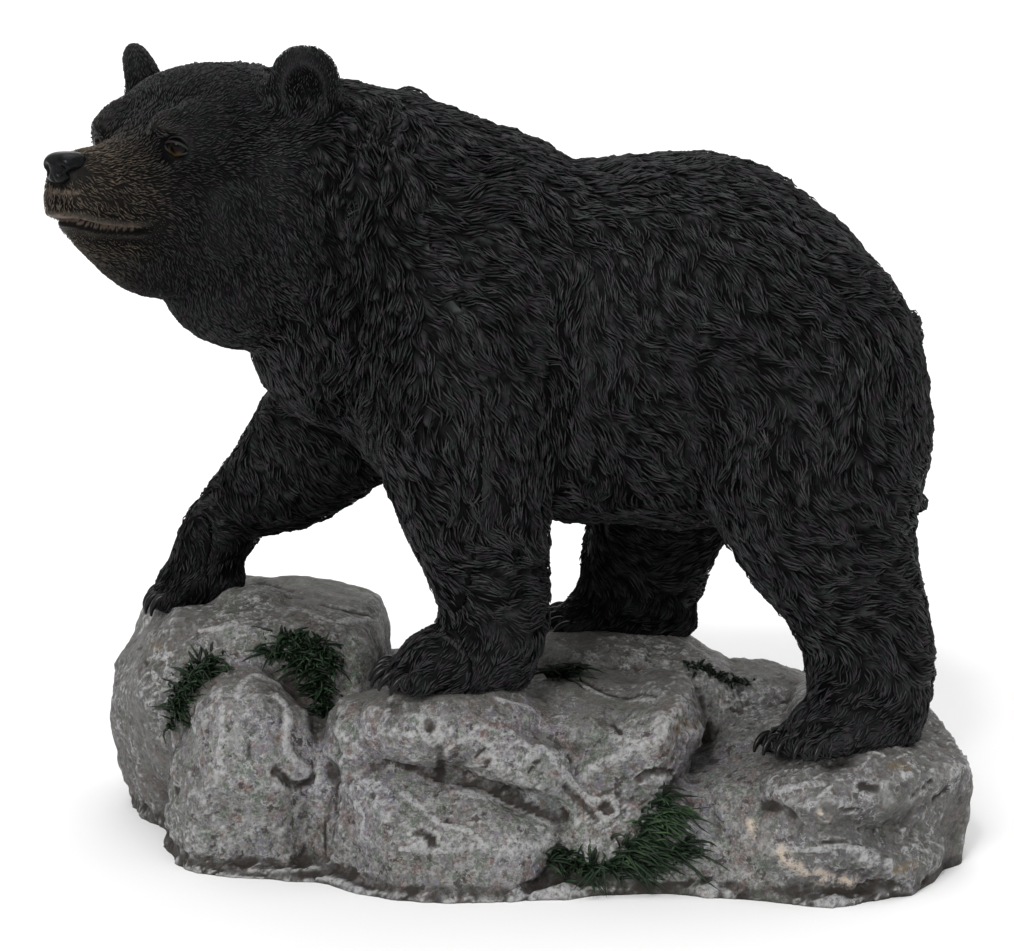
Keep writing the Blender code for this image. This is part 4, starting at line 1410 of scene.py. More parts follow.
# A nostril and the comma beside it: middle and reach in shares of the nose, left, up and forward, and depth.
nostril = ((0.5, -0.1), (0.24, 0.32), 0.5)
comma = ((0.85, -0.25, 0.2), (0.3, 0.2, 0.5), 0.42)
eyeLook = {
    "radius": 2.3,
    "sunk": 1.05,
    "lidLength": 2.6,
    "lid": 0.36,
    # Upper lid, lower lid and the fold above: rise, share of the lid's thickness, and bulge.
    "arcs": [(1.2, 1, 0.75), (-1.15, 0.85, 0.6), (2.45, 0.9, 0.3)],
    "droop": 0.35,
    "lidSunk": 0.15,
    # The iris's ring, in radians from the eye's middle, its width, and how low it is brightest.
    "iris": 0.62,
    "irisWidth": 0.2,
    "irisLow": (-0.1, 0.4),
    "bare": 2.9,
    "points": 80,
}


def fineAt(places):
    # True on the face and the ears, where the fur is short and fine.
    fine = headAxes(places)[:, 0] > skinLook["fineFrom"]
    for side in (1, -1):
        fine |= awayFrom(places, earPlace(side, earHeights["fine"])) < skinLook["fineEar"]
    return fine


def rootsOf(look, fine):
    def closeness(places):
        return look["closest"] + (1 - look["closest"]) * furSizes(places)

    found = []
    for obj, side in ((bearSkin, -1), (bearFace, 1)):
        roots = scatter(obj, look["spacing"], 21, closeness)
        beyond = (headAxes(roots)[:, 0] - skinLook["faceFrom"]) * side > 0
        found.append(roots[beyond & (fineAt(roots) == fine) & ~bareFace(roots)])
    roots = np.vstack(found)
    kept = np.ones(len(roots), bool)
    for name in paws:
        local = np.array(pawFrame(name).inverted()) @ np.vstack([roots.T, np.ones(len(roots))])
        length, width, _ = paws[name][3:]
        under = (np.abs(local[0]) < length + 2) & (np.abs(local[1]) < width + 2) & (local[2] < 0.4)
        kept &= ~under
    return roots[kept]


def fineSizes(roots):
    # How long the fine fur is: longer on the cheeks, shorter at the mouth and on the ears.
    forward, left, height = headAxes(roots).T
    cheek = eased(-forward, *faceFur["cheek"])
    high = height > faceFur["earFrom"]
    longer = faceFur["cheekLonger"] * cheek + faceFur["longer"] * furSizes(roots)
    sizes = faceFur["shortest"] + longer * np.where(high, 0, 1)
    onEar = high & (np.abs(left) > faceFur["earOut"])
    return sizes * (mouthShort(roots) * np.where(onEar, faceFur["onEar"], 1))


field = furField()
roots = rootsOf(bodyFur, False)
growFur("fur", field, bodyFur, roots, bodyFur["shortest"] + (1 - bodyFur["shortest"]) * furSizes(roots), 21)
roots = rootsOf(faceFur, True)
growFur("faceFur", field, faceFur, roots, fineSizes(roots), 31)
cutOff(bearSkin, headPlace(skinLook["faceFrom"], 0, 140) * share, faceWay)
for skin in (bearSkin, bearFace):
    finishSkin(skin)
    piece(skin, furFinish)
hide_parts("bear")
print("skin", len(bearSkin.data.polygons), len(bearFace.data.polygons))


# Nose, eyes and claws


def nosePiece():
    bm = bmesh.new()
    bmesh.ops.create_icosphere(bm, subdivisions=5, radius=1)
    made = asObject("nose", bm)
    ball, _ = pointsOf(made.data)
    # A ball drawn towards a box, narrower below, with a sloping top and a groove between the nostrils.
    boxed = np.sign(ball) * np.abs(ball) ** noseLook["boxed"]
    ahead, left, up = boxed.T
    shape = boxed.copy()
    shape[:, 1] *= 1 - noseTaper * np.clip(-up, 0, 1)
    shape[:, 0] -= noseSlope * np.clip(up, 0, 1) ** 1.5
    for side in (1, -1):
        (aside, rise), (wide, high), deep = nostril
        away = ((left - aside * side) / wide) ** 2 + ((up - rise) / high) ** 2
        shape[:, 0] -= deep * np.exp(-away) * (ahead > 0)
        (aside, rise, out), (wide, high, long), deep = comma
        away = ((left - aside * side) / wide) ** 2 + ((up - rise) / high) ** 2 + ((ahead - out) / long) ** 2
        shape[:, 1] -= deep * side * np.exp(-away)
    wide, top, deep = noseGroove
    shape[:, 0] -= deep * (np.exp(-((left / wide) ** 2)) * (ahead > 0) * np.clip(top - up, 0, 1))
    rows = shape * np.array(noseLook["radii"]) + np.array(noseLook["middle"])
    moveTo(made.data, fromHead(rows) * share)
    return outward(made)


def outward(obj):
    bm = bmesh.new()
    bm.from_mesh(obj.data)
    bmesh.ops.recalc_face_normals(bm, faces=bm.faces)
    bm.to_mesh(obj.data)
    bm.free()
    return obj


def eyeFrame(side):
    # The eye's middle on the skin, and its axes: towards the nose, up and out.
    points, normals = pointsOf(bearFace.data)
    near = np.argsort(awayFrom(points / share, eyeAt(side)))[: eyeLook["points"]]
    out = Vector(normals[near].mean(0)).normalized()
    ahead = headWay(1, 0)
    ahead = (ahead - out * out.dot(ahead)).normalized()
    up = out.cross(ahead)
    return Vector(points[near].mean(0) / share), ahead, up if up.z > 0 else -up, out


def eyePiece(side):
    middle, _, up, out = eyeFrame(side)
    bm = bmesh.new()
    place = Matrix.Translation((middle - out * eyeLook["sunk"]) * share)
    bmesh.ops.create_icosphere(bm, subdivisions=4, radius=eyeLook["radius"] * share, matrix=place)
    made = asObject("eyeLeft" if side > 0 else "eyeRight", bm)
    # The iris shows as a ring, brightest below the pupil.
    rel = unit(pointsOf(made.data)[0] - np.array(place.translation))
    off = np.arccos(np.clip(rel @ np.array(out), -1, 1))
    ring = np.exp(-(((off - eyeLook["iris"]) / eyeLook["irisWidth"]) ** 2))
    ring = ring * eased(-(rel @ np.array(up)), *eyeLook["irisLow"])
    addValue(made.data, "iris", np.clip(ring, 0, 1))
    return made


def lidPiece(side):
    # Two lids that meet in the corners, and a fold over the upper one.
    middle, ahead, up, out = eyeFrame(side)
    bm = bmesh.new()
    for rise, part, bulge in eyeLook["arcs"]:
        rows = []
        for angle in np.linspace(0, math.pi, 9):
            over = math.sin(angle)
            droop = eyeLook["droop"] * math.cos(angle)
            place = middle + ahead * math.cos(angle) * eyeLook["lidLength"] + up * (rise * over - droop)
            place += out * (bulge * over - eyeLook["lidSunk"])
            slim = eyeLook["lid"] * part * (0.4 + 0.6 * over)
            rows.append((*place, slim, slim))
        loft(bm, rows, out, 3, 10)
    bmesh.ops.recalc_face_normals(bm, faces=bm.faces)
    made = asObject("lidsLeft" if side > 0 else "lidsRight", bm)
    for key, value in (("tone", 0.45), ("brown", 0.15), ("fleck", 0)):
        addValue(made.data, key, np.full(len(made.data.vertices), value))
    return made


# A claw along its paw: how far before the toe's middle, height and radius.
clawRows = [(-2.2, 4.4, 0.8), (-0.4, 4.6, 0.95), (1.2, 4.0, 0.86), (2.5, 2.7, 0.6), (3.1, 1.3, 0.26)]


def clawPiece():
    bm = bmesh.new()
    for name in paws:
        frame = pawFrame(name)
        for i in range(toeCount):
            _, forward, left = toeAt(name, i)
            rows = []
            for reach, up, radius in clawRows:
                tip = frame @ Vector((forward + toeRadii[0] * 0.55 + reach, left * (1 + reach * 0.012), up))
                rows.append((*tip, radius * 0.8, radius))
            loft(bm, rows, frame.to_3x3() @ Vector((0, 1, 0)), 3, 12)
    bmesh.ops.recalc_face_normals(bm, faces=bm.faces)
    return asObject("claws", bm)


eyeFinish = glossMaterial("eye", irisPaint)
piece(nosePiece(), glossMaterial("nose"))
for side in (1, -1):
    piece(eyePiece(side), eyeFinish)
    piece(lidPiece(side), furFinish)
piece(clawPiece(), glossMaterial("claw"))
print("face and claws made")


# The rock bed

# The skin of the stones: voxels and rounds of smoothing, clefts, the lip round the foot, and then how
# strongly its lumps, ledges, grain, cracks and pits show, in shares.
rockLook = {
    "voxel": 0.85,
    "rounds": 3,
    "seamWidth": 1.5,
    "seamDepth": 0.6,
    "rim": 1.6,
    "below": 4,
    "lump": 0.75,
    "lumpSpan": 10,
    "ledge": 0.4,
    "grain": 0.3,
    "wiggle": 0.4,
    "crack": 0.3,
    "pit": 0.6,
    "wobble": [(0.4, 0.7, 0), (0.5, 0.3, 5)],
    "feather": 1.35,
}
rockPaint = {
    "dark": (0.1, 0.097, 0.093),
    "light": (0.2, 0.198, 0.196),
    "brown": (0.13, 0.07, 0.058),
    "green": (0.074, 0.108, 0.07),
    "violet": (0.146, 0.134, 0.184),
    "pale": (0.3, 0.298, 0.29),
    "dim": (0.06, 0.057, 0.053),
    "speck": (0.03, 0.022, 0.02),
    "brush": (0.42, 0.42, 0.42),
    "wash": (0.024, 0.019, 0.016),
    # painted shade on level, high tops, where the bear hangs over them
    "top": (0.082, 0.077, 0.068),
    "ochre": (0.13, 0.088, 0.03),
    "cream": (0.55, 0.46, 0.37),
    "moss": (0.014, 0.028, 0.013),
}
# Marks on the stones by kind: the run of each in the photo, half width and height in shares.
rockMarks = {
    "valley": [
        ([(207, 688), (188, 715), (172, 750), (165, 790), (165, 825), (174, 852)], 2.2, 0.8),
        ([(292, 688), (317, 714), (330, 745), (335, 775), (328, 810), (322, 850)], 2.6, 1.0),
        ([(333, 775), (360, 768), (400, 768), (441, 778), (488, 788), (522, 806), (560, 822)], 2.2, 0.8),
        ([(562, 822), (566, 850), (548, 885)], 2.2, 0.8),
        ([(345, 690), (330, 715), (333, 750)], 2.2, 0.8),
        ([(704, 690), (708, 730), (690, 762), (672, 785)], 2.2, 0.8),
    ],
    "line": [
        ([(205, 694), (186, 720), (171, 755), (166, 800), (168, 835)], 0.5, 0.4),
        ([(333, 752), (336, 772), (329, 800), (323, 835), (325, 862)], 0.5, 0.4),
        ([(258, 583), (275, 585), (292, 590)], 0.6, 0.5),
        ([(279, 592), (293, 599)], 0.5, 0.5),
        ([(323, 602), (348, 608), (371, 615)], 0.7, 0.8),
        ([(400, 765), (441, 777), (488, 787), (522, 804), (560, 820)], 0.6, 0.6),
        ([(439, 749), (441, 760), (440, 771)], 1.1, 0.6),
        ([(476, 756), (484, 750)], 0.4, 0.5),
        ([(530, 770), (537, 762)], 0.4, 0.6),
        ([(566, 786), (580, 803), (596, 818)], 0.7, 0.8),
        ([(580, 679), (604, 691), (631, 697), (657, 697)], 0.9, 0.8),
        ([(841, 809), (862, 811)], 0.5, 0.7),
        ([(913, 795), (931, 781)], 0.5, 0.6),
        ([(858, 887), (890, 883), (925, 881)], 0.7, 0.8),
        ([(825, 843), (846, 841)], 0.5, 0.6),
        ([(190, 862), (240, 872), (290, 876), (330, 874)], 0.6, 0.7),
    ],
    "smooth": [
        ([(345, 872), (440, 878), (530, 872)], 4.5, 0),
        ([(330, 770), (400, 773), (461, 790), (514, 803), (556, 826)], 2.2, 0),
        ([(715, 760), (722, 800), (730, 850)], 4.5, 0),
        ([(260, 850), (300, 820), (306, 740)], 2.5, 0),
    ],
    "ridge": [
        ([(237, 697), (243, 684), (256, 678), (279, 686)], 0.7, 0.4),
        ([(277, 697), (287, 710), (286, 745), (296, 762), (306, 772)], 0.9, 0.8),
        ([(293, 607), (321, 618), (348, 620), (371, 618)], 0.7, 0.4),
        ([(404, 794), (424, 810), (441, 824), (467, 830), (482, 845)], 0.6, 0.4),
        ([(541, 747), (561, 771), (580, 790), (596, 802), (612, 797)], 0.7, 0.7),
        ([(598, 815), (607, 819), (617, 812), (616, 800)], 0.5, 0.4),
        ([(778, 791), (803, 787), (821, 784)], 0.6, 0.5),
        ([(780, 848), (810, 850), (840, 846), (865, 852)], 0.5, 0.5),
    ],
    "pit": [
        ([(275, 771), (287, 782), (300, 786), (313, 779)], 0.9, 1.5),
        ([(249, 745), (250, 755)], 0.6, 0.8),
        ([(174, 790), (176, 792)], 0.6, 0.8),
        ([(139, 647), (141, 649)], 0.6, 0.7),
        ([(143, 660), (148, 664)], 0.6, 0.6),
        ([(129, 692), (130, 695)], 0.5, 0.6),
        ([(419, 833), (429, 838), (432, 845)], 0.9, 1.2),
        ([(447, 820), (451, 822)], 0.5, 0.7),
        ([(371, 795), (374, 797)], 0.5, 0.6),
        ([(427, 722), (430, 730)], 1.0, 1.0),
        ([(605, 806), (607, 808)], 1.3, 1.4),
        ([(640, 780), (656, 773), (674, 771)], 0.8, 1.0),
        ([(568, 756), (571, 760)], 0.6, 0.7),
        ([(611, 724), (620, 732)], 0.5, 0.6),
        ([(862, 785), (876, 788)], 1.1, 0.9),
        ([(765, 806), (780, 808), (791, 814)], 1.1, 1.0),
        ([(935, 798), (946, 789)], 0.7, 0.8),
    ],
    "stain": [
        ([(204, 700), (207, 703)], 1.0, 0.2),
        ([(243, 722), (250, 730)], 0.9, 0.3),
        ([(243, 611), (260, 605)], 0.8, 0.2),
        ([(128, 815), (145, 826), (160, 830)], 1.0, 0.3),
        ([(391, 705), (398, 712), (392, 722)], 1.0, 0.3),
        ([(830, 765), (850, 762)], 1.2, 0.6),
        ([(528, 888), (570, 882), (610, 879), (650, 885)], 1.4, 0.8),
        ([(560, 877), (600, 872), (680, 872)], 1.3, 0.2),
    ],
    "light": [
        ([(188, 712), (191, 722), (196, 731)], 0.4, 0.2),
        ([(173, 735), (172, 750), (174, 762)], 0.4, 0.1),
        ([(221, 708), (223, 730), (219, 750), (224, 770)], 0.4, 0.2),
        ([(196, 790), (205, 800), (214, 820), (226, 830)], 0.4, 0.1),
        ([(201, 630), (225, 627), (247, 622)], 0.6, 0.2),
        ([(154, 609), (148, 620), (139, 634)], 0.8, 0.1),
        ([(146, 659), (158, 656), (169, 655)], 0.5, 0.2),
        ([(400, 850), (425, 846), (447, 852), (470, 846)], 0.4, 0.2),
        ([(498, 858), (506, 845), (516, 834)], 0.4, 0.2),
        ([(356, 800), (366, 815), (362, 832), (372, 845)], 0.4, 0.2),
        ([(461, 792), (490, 797), (520, 807), (551, 824)], 0.9, 0.0),
        ([(421, 716), (422, 728), (424, 735)], 0.5, 0.2),
        ([(497, 700), (530, 706), (560, 716)], 0.5, 0.2),
        ([(470, 735), (490, 745), (500, 765)], 0.5, 0.2),
        ([(610, 736), (640, 742), (668, 740)], 0.5, 0.2),
        ([(584, 687), (606, 698), (631, 702), (654, 701)], 0.5, 0.2),
        ([(643, 718), (671, 722), (696, 733)], 0.5, 0.2),
    ],
    "ochre": [
        ([(150, 645), (162, 647)], 0.8, 0.0),
        ([(678, 727), (690, 724), (703, 720)], 1.2, -0.4),
        ([(892, 766), (905, 767)], 1.2, -0.5),
        ([(895, 869), (919, 864)], 0.9, 0.0),
    ],
    "cream": [
        ([(752, 824), (756, 832)], 1.1, 0.1),
        ([(821, 813), (826, 819)], 0.9, 0.2),
        ([(780, 851), (795, 866), (822, 877), (851, 882)], 1.3, 0.2),
    ],
}
sunkMarks = ("valley", "pit", "line", "stain")


def rockClay():
    bm = bmesh.new()
    noise.seed_set(11)
    for seed, (middle, half, turn, square, boulder) in enumerate(stones):
        stone(bm, middle, half, turn, square, stoneFeet.get(boulder, 1), seed)
    outline = [Vector((*point, -rockLook["below"])) * share for point in smoothRows(rimOutline, 3, True)]
    plate = bmesh.ops.contextual_create(bm, geom=[bm.verts.new(p) for p in outline])["faces"]
    top = bmesh.ops.extrude_face_region(bm, geom=plate)["geom"]
    raised = [g for g in top if isinstance(g, bmesh.types.BMVert)]
    bmesh.ops.translate(bm, vec=(0, 0, (rockLook["rim"] + rockLook["below"]) * share), verts=raised)
    for name in paws:
        seat(bm, name)
    bmesh.ops.recalc_face_normals(bm, faces=bm.faces)
    return bm


def markStrengths(obj, points):
    # How strongly each kind of mark shows at each point, and how far the marks raise it, in shares.
    places = points / share
    wobble = sum(most * noiseAt(places, scale, shift) for most, scale, shift in rockLook["wobble"])
    found = {kind: np.zeros(len(places)) for kind in rockMarks}
    raised = np.zeros(len(places))
    for kind, rows in rockMarks.items():
        way = -1 if kind in sunkMarks else 1
        for run, half, height in rows:
            line = seenOn(obj, run)
            if len(line) < 2:
                print("mark missed", kind, run)
                continue
            away, _ = alongLine(places, line, 3)
            strength = np.clip(1 - ((away + wobble * min(half, 1)) / (half * rockLook["feather"])) ** 2, 0, 1)
            found[kind] = np.maximum(found[kind], strength)
            raised += strength * height * way
    return found, raised


# Features to the share, sizes and bends of what the stones' noises make.
rockNoise = {
    "rough": 0.05,
    "roughness": 1.6,
    "ledge": (0.5, 0.5, 2.4),
    "cells": 0.085,
    "cellBend": (0.1, 0.4),
    "crackWidth": 0.04,
    "cracked": 0.07,
    "pits": 0.2,
    "pitSize": 0.38,
    "pitted": 0.09,
    "smallPits": 0.5,
    "smallPitSize": 0.3,
    "wiggles": 0.26,
    "wiggleBend": (0.25, 1.2),
    "grains": 0.7,
}


def carvedRock(points, normals, marks, raised):
    cleft = seams(points)
    calm = 1 - np.maximum(marks["smooth"], 0.8 * marks["valley"])
    raised = raised + fillets(points) - cleft * rockLook["seamDepth"]
    moved = points + normals * (raised * share)[:, None]
    out = np.empty(len(points))
    rough = np.empty(len(points))
    look = rockNoise
    for i, point in enumerate(moved):
        place = Vector(point) / share
        wide = place / rockLook["lumpSpan"]
        patch = 0.5 + look["roughness"] * noise.noise(place * look["rough"] + Vector((3, 1, 8)))
        rough[i] = calm[i] * min(max(patch, 0), 1)
        lump = noise.fractal(wide, 0.9, 2.1, 3)
        ledge = noise.noise(Vector([w * stretch for w, stretch in zip(wide, look["ledge"])]))
        bend = noise.noise_vector(place * look["cellBend"][0]) * look["cellBend"][1]
        cells = noise.voronoi(place * look["cells"] + bend)[0]
        crack = math.exp(-(((cells[1] - cells[0]) / look["crackWidth"]) ** 2))
        crack *= max(0.0, noise.noise(place * look["cracked"]) * 2)
        pits = max(0.0, look["pitSize"] - noise.voronoi(place * look["pits"])[0][0])
        pits *= max(0.0, noise.noise(place * look["pitted"]) * 3)
        small = max(0.0, look["smallPitSize"] - noise.voronoi(place * look["smallPits"])[0][0]) * rough[i]
        bent = place + noise.noise_vector(place * look["wiggleBend"][0]) * look["wiggleBend"][1]
        wiggle = max(0.0, 1 - abs(noise.noise(bent * look["wiggles"])) * 6) * rough[i]
        grain = noise.fractal(place * look["grains"], 0.8, 2.2, 3) * (0.25 + rough[i])
        out[i] = (
            rockLook["lump"] * lump
            + rockLook["ledge"] * ledge
            + rockLook["grain"] * grain
            + rockLook["wiggle"] * wiggle
            - rockLook["crack"] * crack
            - rockLook["pit"] * (1.6 * pits + 1.6 * small)
        )
    return moved + normals * (out * share)[:, None], cleft, rough


def mossAt(places):
    near = np.zeros(len(places))
    for run, reach, _, _, _, _ in grassLook["tufts"]:
        line = seenOn(rockSkin, run)
        if len(line) > 1:
            away, _ = alongLine(places, line, 3)
            near = np.maximum(near, 1 - eased(away, reach * 0.5, reach * 1.7))
    return near


# Where the stones are painted darker: towards the ends of the bed and on what is level and high, as painted
# shade, and near the foot. Each is from where to where, in shares, but for the facing of the tops, which is
# how far a face looks up.
leftEndShade = (62, 76)
rightEndShade = (46, 62)
rimDark = (1.8, 3.6)
shadedTopFacing = (0.55, 0.95)
shadedTopHeight = (22, 40)
hollowRounds = ((1, 1.6), (5, 1.1), (20, 0.3))  # how widely hollows are looked for, and their weights


def rockValues(mesh, cleft, rough, marks):
    points, normals = pointsOf(mesh)
    ends = endsOf(mesh)
    hollow = np.zeros(len(points))
    for rounds, weight in hollowRounds:
        smooth = averaged(points, ends, rounds)
        hollow += weight * ((smooth - points) * normals).sum(1) / share
    deep = 0.3 * averaged(cleft, ends, 2) ** 2
    deep += 0.8 * marks["pit"] + 0.7 * marks["line"] + 0.1 * marks["valley"]
    rim = 0.9 * (1 - eased(points[:, 2] / share, *rimDark))
    addValue(mesh, "cavity", np.clip(hollow * 0.7 + deep + rim - 0.05, 0, 0.95))
    addValue(mesh, "ridge", np.clip(-hollow * 1.1 - 0.2, 0, 1) + 0.9 * marks["ridge"] + 0.9 * marks["light"])
    addValue(mesh, "rough", rough)
    # Painted shade on level, high faces, and towards the ends of the bed.
    addValue(mesh, "top", eased(normals[:, 2], *shadedTopFacing) * eased(points[:, 2] / share, *shadedTopHeight))
    along = points[:, 0] / share
    addValue(mesh, "endShade", eased(-along, *leftEndShade) + eased(along, *rightEndShade))
    for kind in ("stain", "ochre", "cream"):
        addValue(mesh, kind, marks[kind])
    addValue(mesh, "moss", mossAt(points / share))


def veinLines(tree, value, width):
    # Thin lines where a noise passes through its middle value.
    middle = tree.nodes.new("ShaderNodeMath")
    middle.operation = "SUBTRACT"
    middle.inputs[1].default_value = 0.5
    tree.links.new(value, middle.inputs[0])
    away = tree.nodes.new("ShaderNodeMath")
    away.operation = "ABSOLUTE"
    tree.links.new(middle.outputs["Value"], away.inputs[0])
    return stepped(tree, away.outputs["Value"], 0.0, width, 0.0, 1.0)


rockLayers = [
    # Paint, features to the metre, detail, from where to where it shows, and how strongly.
    ("brown", 48, 6.0, 0.49, 0.62, 0.6),
    ("green", 60, 6.0, 0.5, 0.62, 0.8),
    ("violet", 40, 5.0, 0.5, 0.62, 0.7),
    ("brown", 300, 7.0, 0.53, 0.61, 0.85),
    ("green", 420, 6.0, 0.52, 0.6, 0.85),
    ("pale", 700, 7.0, 0.5, 0.62, 0.7),
    ("dim", 520, 7.0, 0.52, 0.64, 0.75),
    ("pale", 1700, 5.0, 0.5, 0.62, 0.6),
    ("dim", 1500, 5.0, 0.52, 0.63, 0.65),
    ("violet", 650, 6.0, 0.56, 0.64, 0.75),
    ("speck", 330, 3.0, 0.595, 0.625, 0.85),
]
# Grit: paint, from where to where, and how strongly above and below.
rockGrit = [("pale", 0.53, 0.66, 0.6, 0.0), ("dim", 0.35, 0.45, 0.0, 0.8), ("speck", 0.31, 0.36, 0.0, 0.75)]
# Patches: the value of the mesh that says where, paint, and from where to where it shows.
rockStains = [
    ("stain", "wash", 0.3, 0.62),
    ("cream", "cream", 0.44, 0.56),
    ("ochre", "ochre", 0.4, 0.6),
    ("moss", "moss", 0.4, 0.6),
]


def rockMaterial():
    made, tree, shader = newMaterial("painted stone", 0.62, 0.3)
    cavity = readAttribute(tree, "cavity")
    ridge = readAttribute(tree, "ridge")
    rough = readAttribute(tree, "rough")
    fine = noiseNode(tree, 620, 6.0, 0.7)
    broad = stepped(tree, noiseNode(tree, 75, 7.0, 0.68), 0.32, 0.68)
    colour = mixed(tree, broad, rockPaint["dark"], rockPaint["light"])
    for name, scale, detail, low, high, most in rockLayers:
        mask = stepped(tree, noiseNode(tree, scale, detail, 0.66), low, high, most)
        colour = mixed(tree, mask, colour, rockPaint[name])
    grit = noiseNode(tree, 560, 9.0, 0.7)
    for name, low, high, most, least in rockGrit:
        colour = mixed(tree, stepped(tree, grit, low, high, most, least), colour, rockPaint[name])
    # Painted shade on level, high tops and towards the ends of the bed.
    colour = mixed(tree, times(tree, readAttribute(tree, "top"), 0.6), colour, rockPaint["top"])
    colour = mixed(tree, times(tree, readAttribute(tree, "endShade"), 0.6), colour, rockPaint["dim"])
    # Thin pale lines brushed over the rough parts
    worms = times(tree, stepped(tree, rough, 0.1, 0.7), stepped(tree, noiseNode(tree, 62, 3.0), 0.44, 0.58))
    first = veinLines(tree, noiseNode(tree, 170, 4.0, 0.62), 0.05)
    second = veinLines(tree, noiseNode(tree, 300, 4.0, 0.62), 0.045)
    patches = stepped(tree, noiseNode(tree, 80, 3.0), 0.48, 0.6)
    squiggle = times(tree, times(tree, first, worms), stepped(tree, fine, 0.42, 0.56, 0.85))
    finer = times(tree, times(tree, second, patches), stepped(tree, fine, 0.44, 0.58, 0.8))
    colour = mixed(tree, squiggle, colour, rockPaint["brush"])
    colour = mixed(tree, finer, colour, rockPaint["brush"])
    # Dry brushing on raised edges, and a dark wash in the hollows
    raisedEdges = stepped(tree, ridge, 0.12, 0.8)
    dry = times(tree, raisedEdges, stepped(tree, noiseNode(tree, 900, 5.0, 0.7), 0.34, 0.6, 0.75))
    colour = mixed(tree, dry, colour, rockPaint["brush"])
    patchy = stepped(tree, noiseNode(tree, 260, 5.0), 0.25, 0.6, 1.0, 0.4)
    colour = mixed(tree, times(tree, stepped(tree, cavity, 0.08, 0.85), patchy), colour, rockPaint["wash"])
    # Stains, ochre and cream patches, and moss
    for key, name, low, high in rockStains:
        worn = stepped(tree, noiseNode(tree, 560, 6.0, 0.7), low, high, 0.85)
        colour = mixed(tree, times(tree, readAttribute(tree, key), worn), colour, rockPaint[name])
    tree.links.new(colour, shader.inputs["Base Color"])
    tree.links.new(stepped(tree, noiseNode(tree, 160, 4.0), 0.3, 0.7, 0.74, 0.48), shader.inputs["Roughness"])
    grain = bumped(tree, shader, grit, 0.0008, 0.9)
    worm = bumped(tree, shader, squiggle, 0.00022, 0.8, grain)
    bumped(tree, shader, finer, 0.00016, 0.7, worm)
    return made


grassLook = {
    # Run of the roots in the photo, how far they spread, blade length, number, way of growth, tone.
    "tufts": [
        ([(550, 862), (580, 872), (612, 870)], 2.2, 6.5, 130, (0.1, 1.0), -0.1),
        ([(612, 864), (632, 846), (648, 826), (662, 802)], 2.8, 7, 210, (0.85, 0.5), 0.05),
        ([(640, 872), (672, 858), (684, 846)], 2.0, 5.5, 70, (0.5, 0.8), -0.15),
        ([(322, 714), (322, 690), (312, 668), (294, 656), (266, 652)], 2.5, 4.6, 250, (-0.1, 0.7), -0.14),
        ([(334, 668), (322, 650), (300, 642), (282, 640)], 2.2, 4, 140, (0.05, 0.8), -0.1),
        ([(174, 722), (180, 702), (189, 684), (203, 670), (216, 665)], 2.3, 5, 210, (0.1, 0.8), -0.1),
        ([(548, 678), (562, 676), (574, 672)], 2.4, 7, 70, (-0.05, 1.0), -0.3),
        ([(692, 668), (718, 676), (746, 684)], 1.8, 2.6, 110, (0.0, 1.0), -0.35),
    ],
    "halfWidth": 0.4,
    "rings": 6,
    "closest": 0.15,
    "highest": 2.2,
    "lowest": 0.6,
    "rootDepth": 0.6,
    "lean": 0.3,
    "unevenWay": 0.42,
    "unevenBow": 0.45,
    "lengths": (0.5, 1.15),
    "widths": (0.6, 1.25),
    "girth": ([0, 0.3, 0.7, 1], [0.8, 1, 0.8, 0.2]),
}
rockSkin = asObject("rockSkin", rockClay())
oneSkin(rockSkin, rockLook["voxel"], rockLook["rounds"])
rockPoints, rockNormals = pointsOf(rockSkin.data)
marks, raised = markStrengths(rockSkin, rockPoints)
rockPoints, rockCleft, rockRough = carvedRock(rockPoints, rockNormals, marks, raised)
moveTo(rockSkin.data, rockPoints)
rockValues(rockSkin.data, rockCleft, rockRough, marks)
cutOff(rockSkin, (0, 0, 0), (0, 0, -1))
piece(rockSkin, rockMaterial())
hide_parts("rock_bed")
print("rock", len(rockSkin.data.polygons))


# Grass

grassPaint = {"dark": (0.003, 0.0075, 0.003), "mid": (0.008, 0.023, 0.0075), "light": (0.03, 0.07, 0.02)}


def grassMaterial():
    made, tree, shader = newMaterial("painted grass", 0.5, 0.3)
    tone = readAttribute(tree, "tone")
    colour = mixed(tree, stepped(tree, tone, 0.0, 0.5), grassPaint["dark"], grassPaint["mid"])
    colour = mixed(tree, stepped(tree, tone, 0.5, 1.0), colour, grassPaint["light"])
    colour = mixed(tree, stepped(tree, noiseNode(tree, 800), 0.5, 0.7, 0.5), colour, grassPaint["dark"])
    tree.links.new(colour, shader.inputs["Base Color"])
    bumped(tree, shader, noiseNode(tree, 2200, 3.0), 0.00008)
    return made


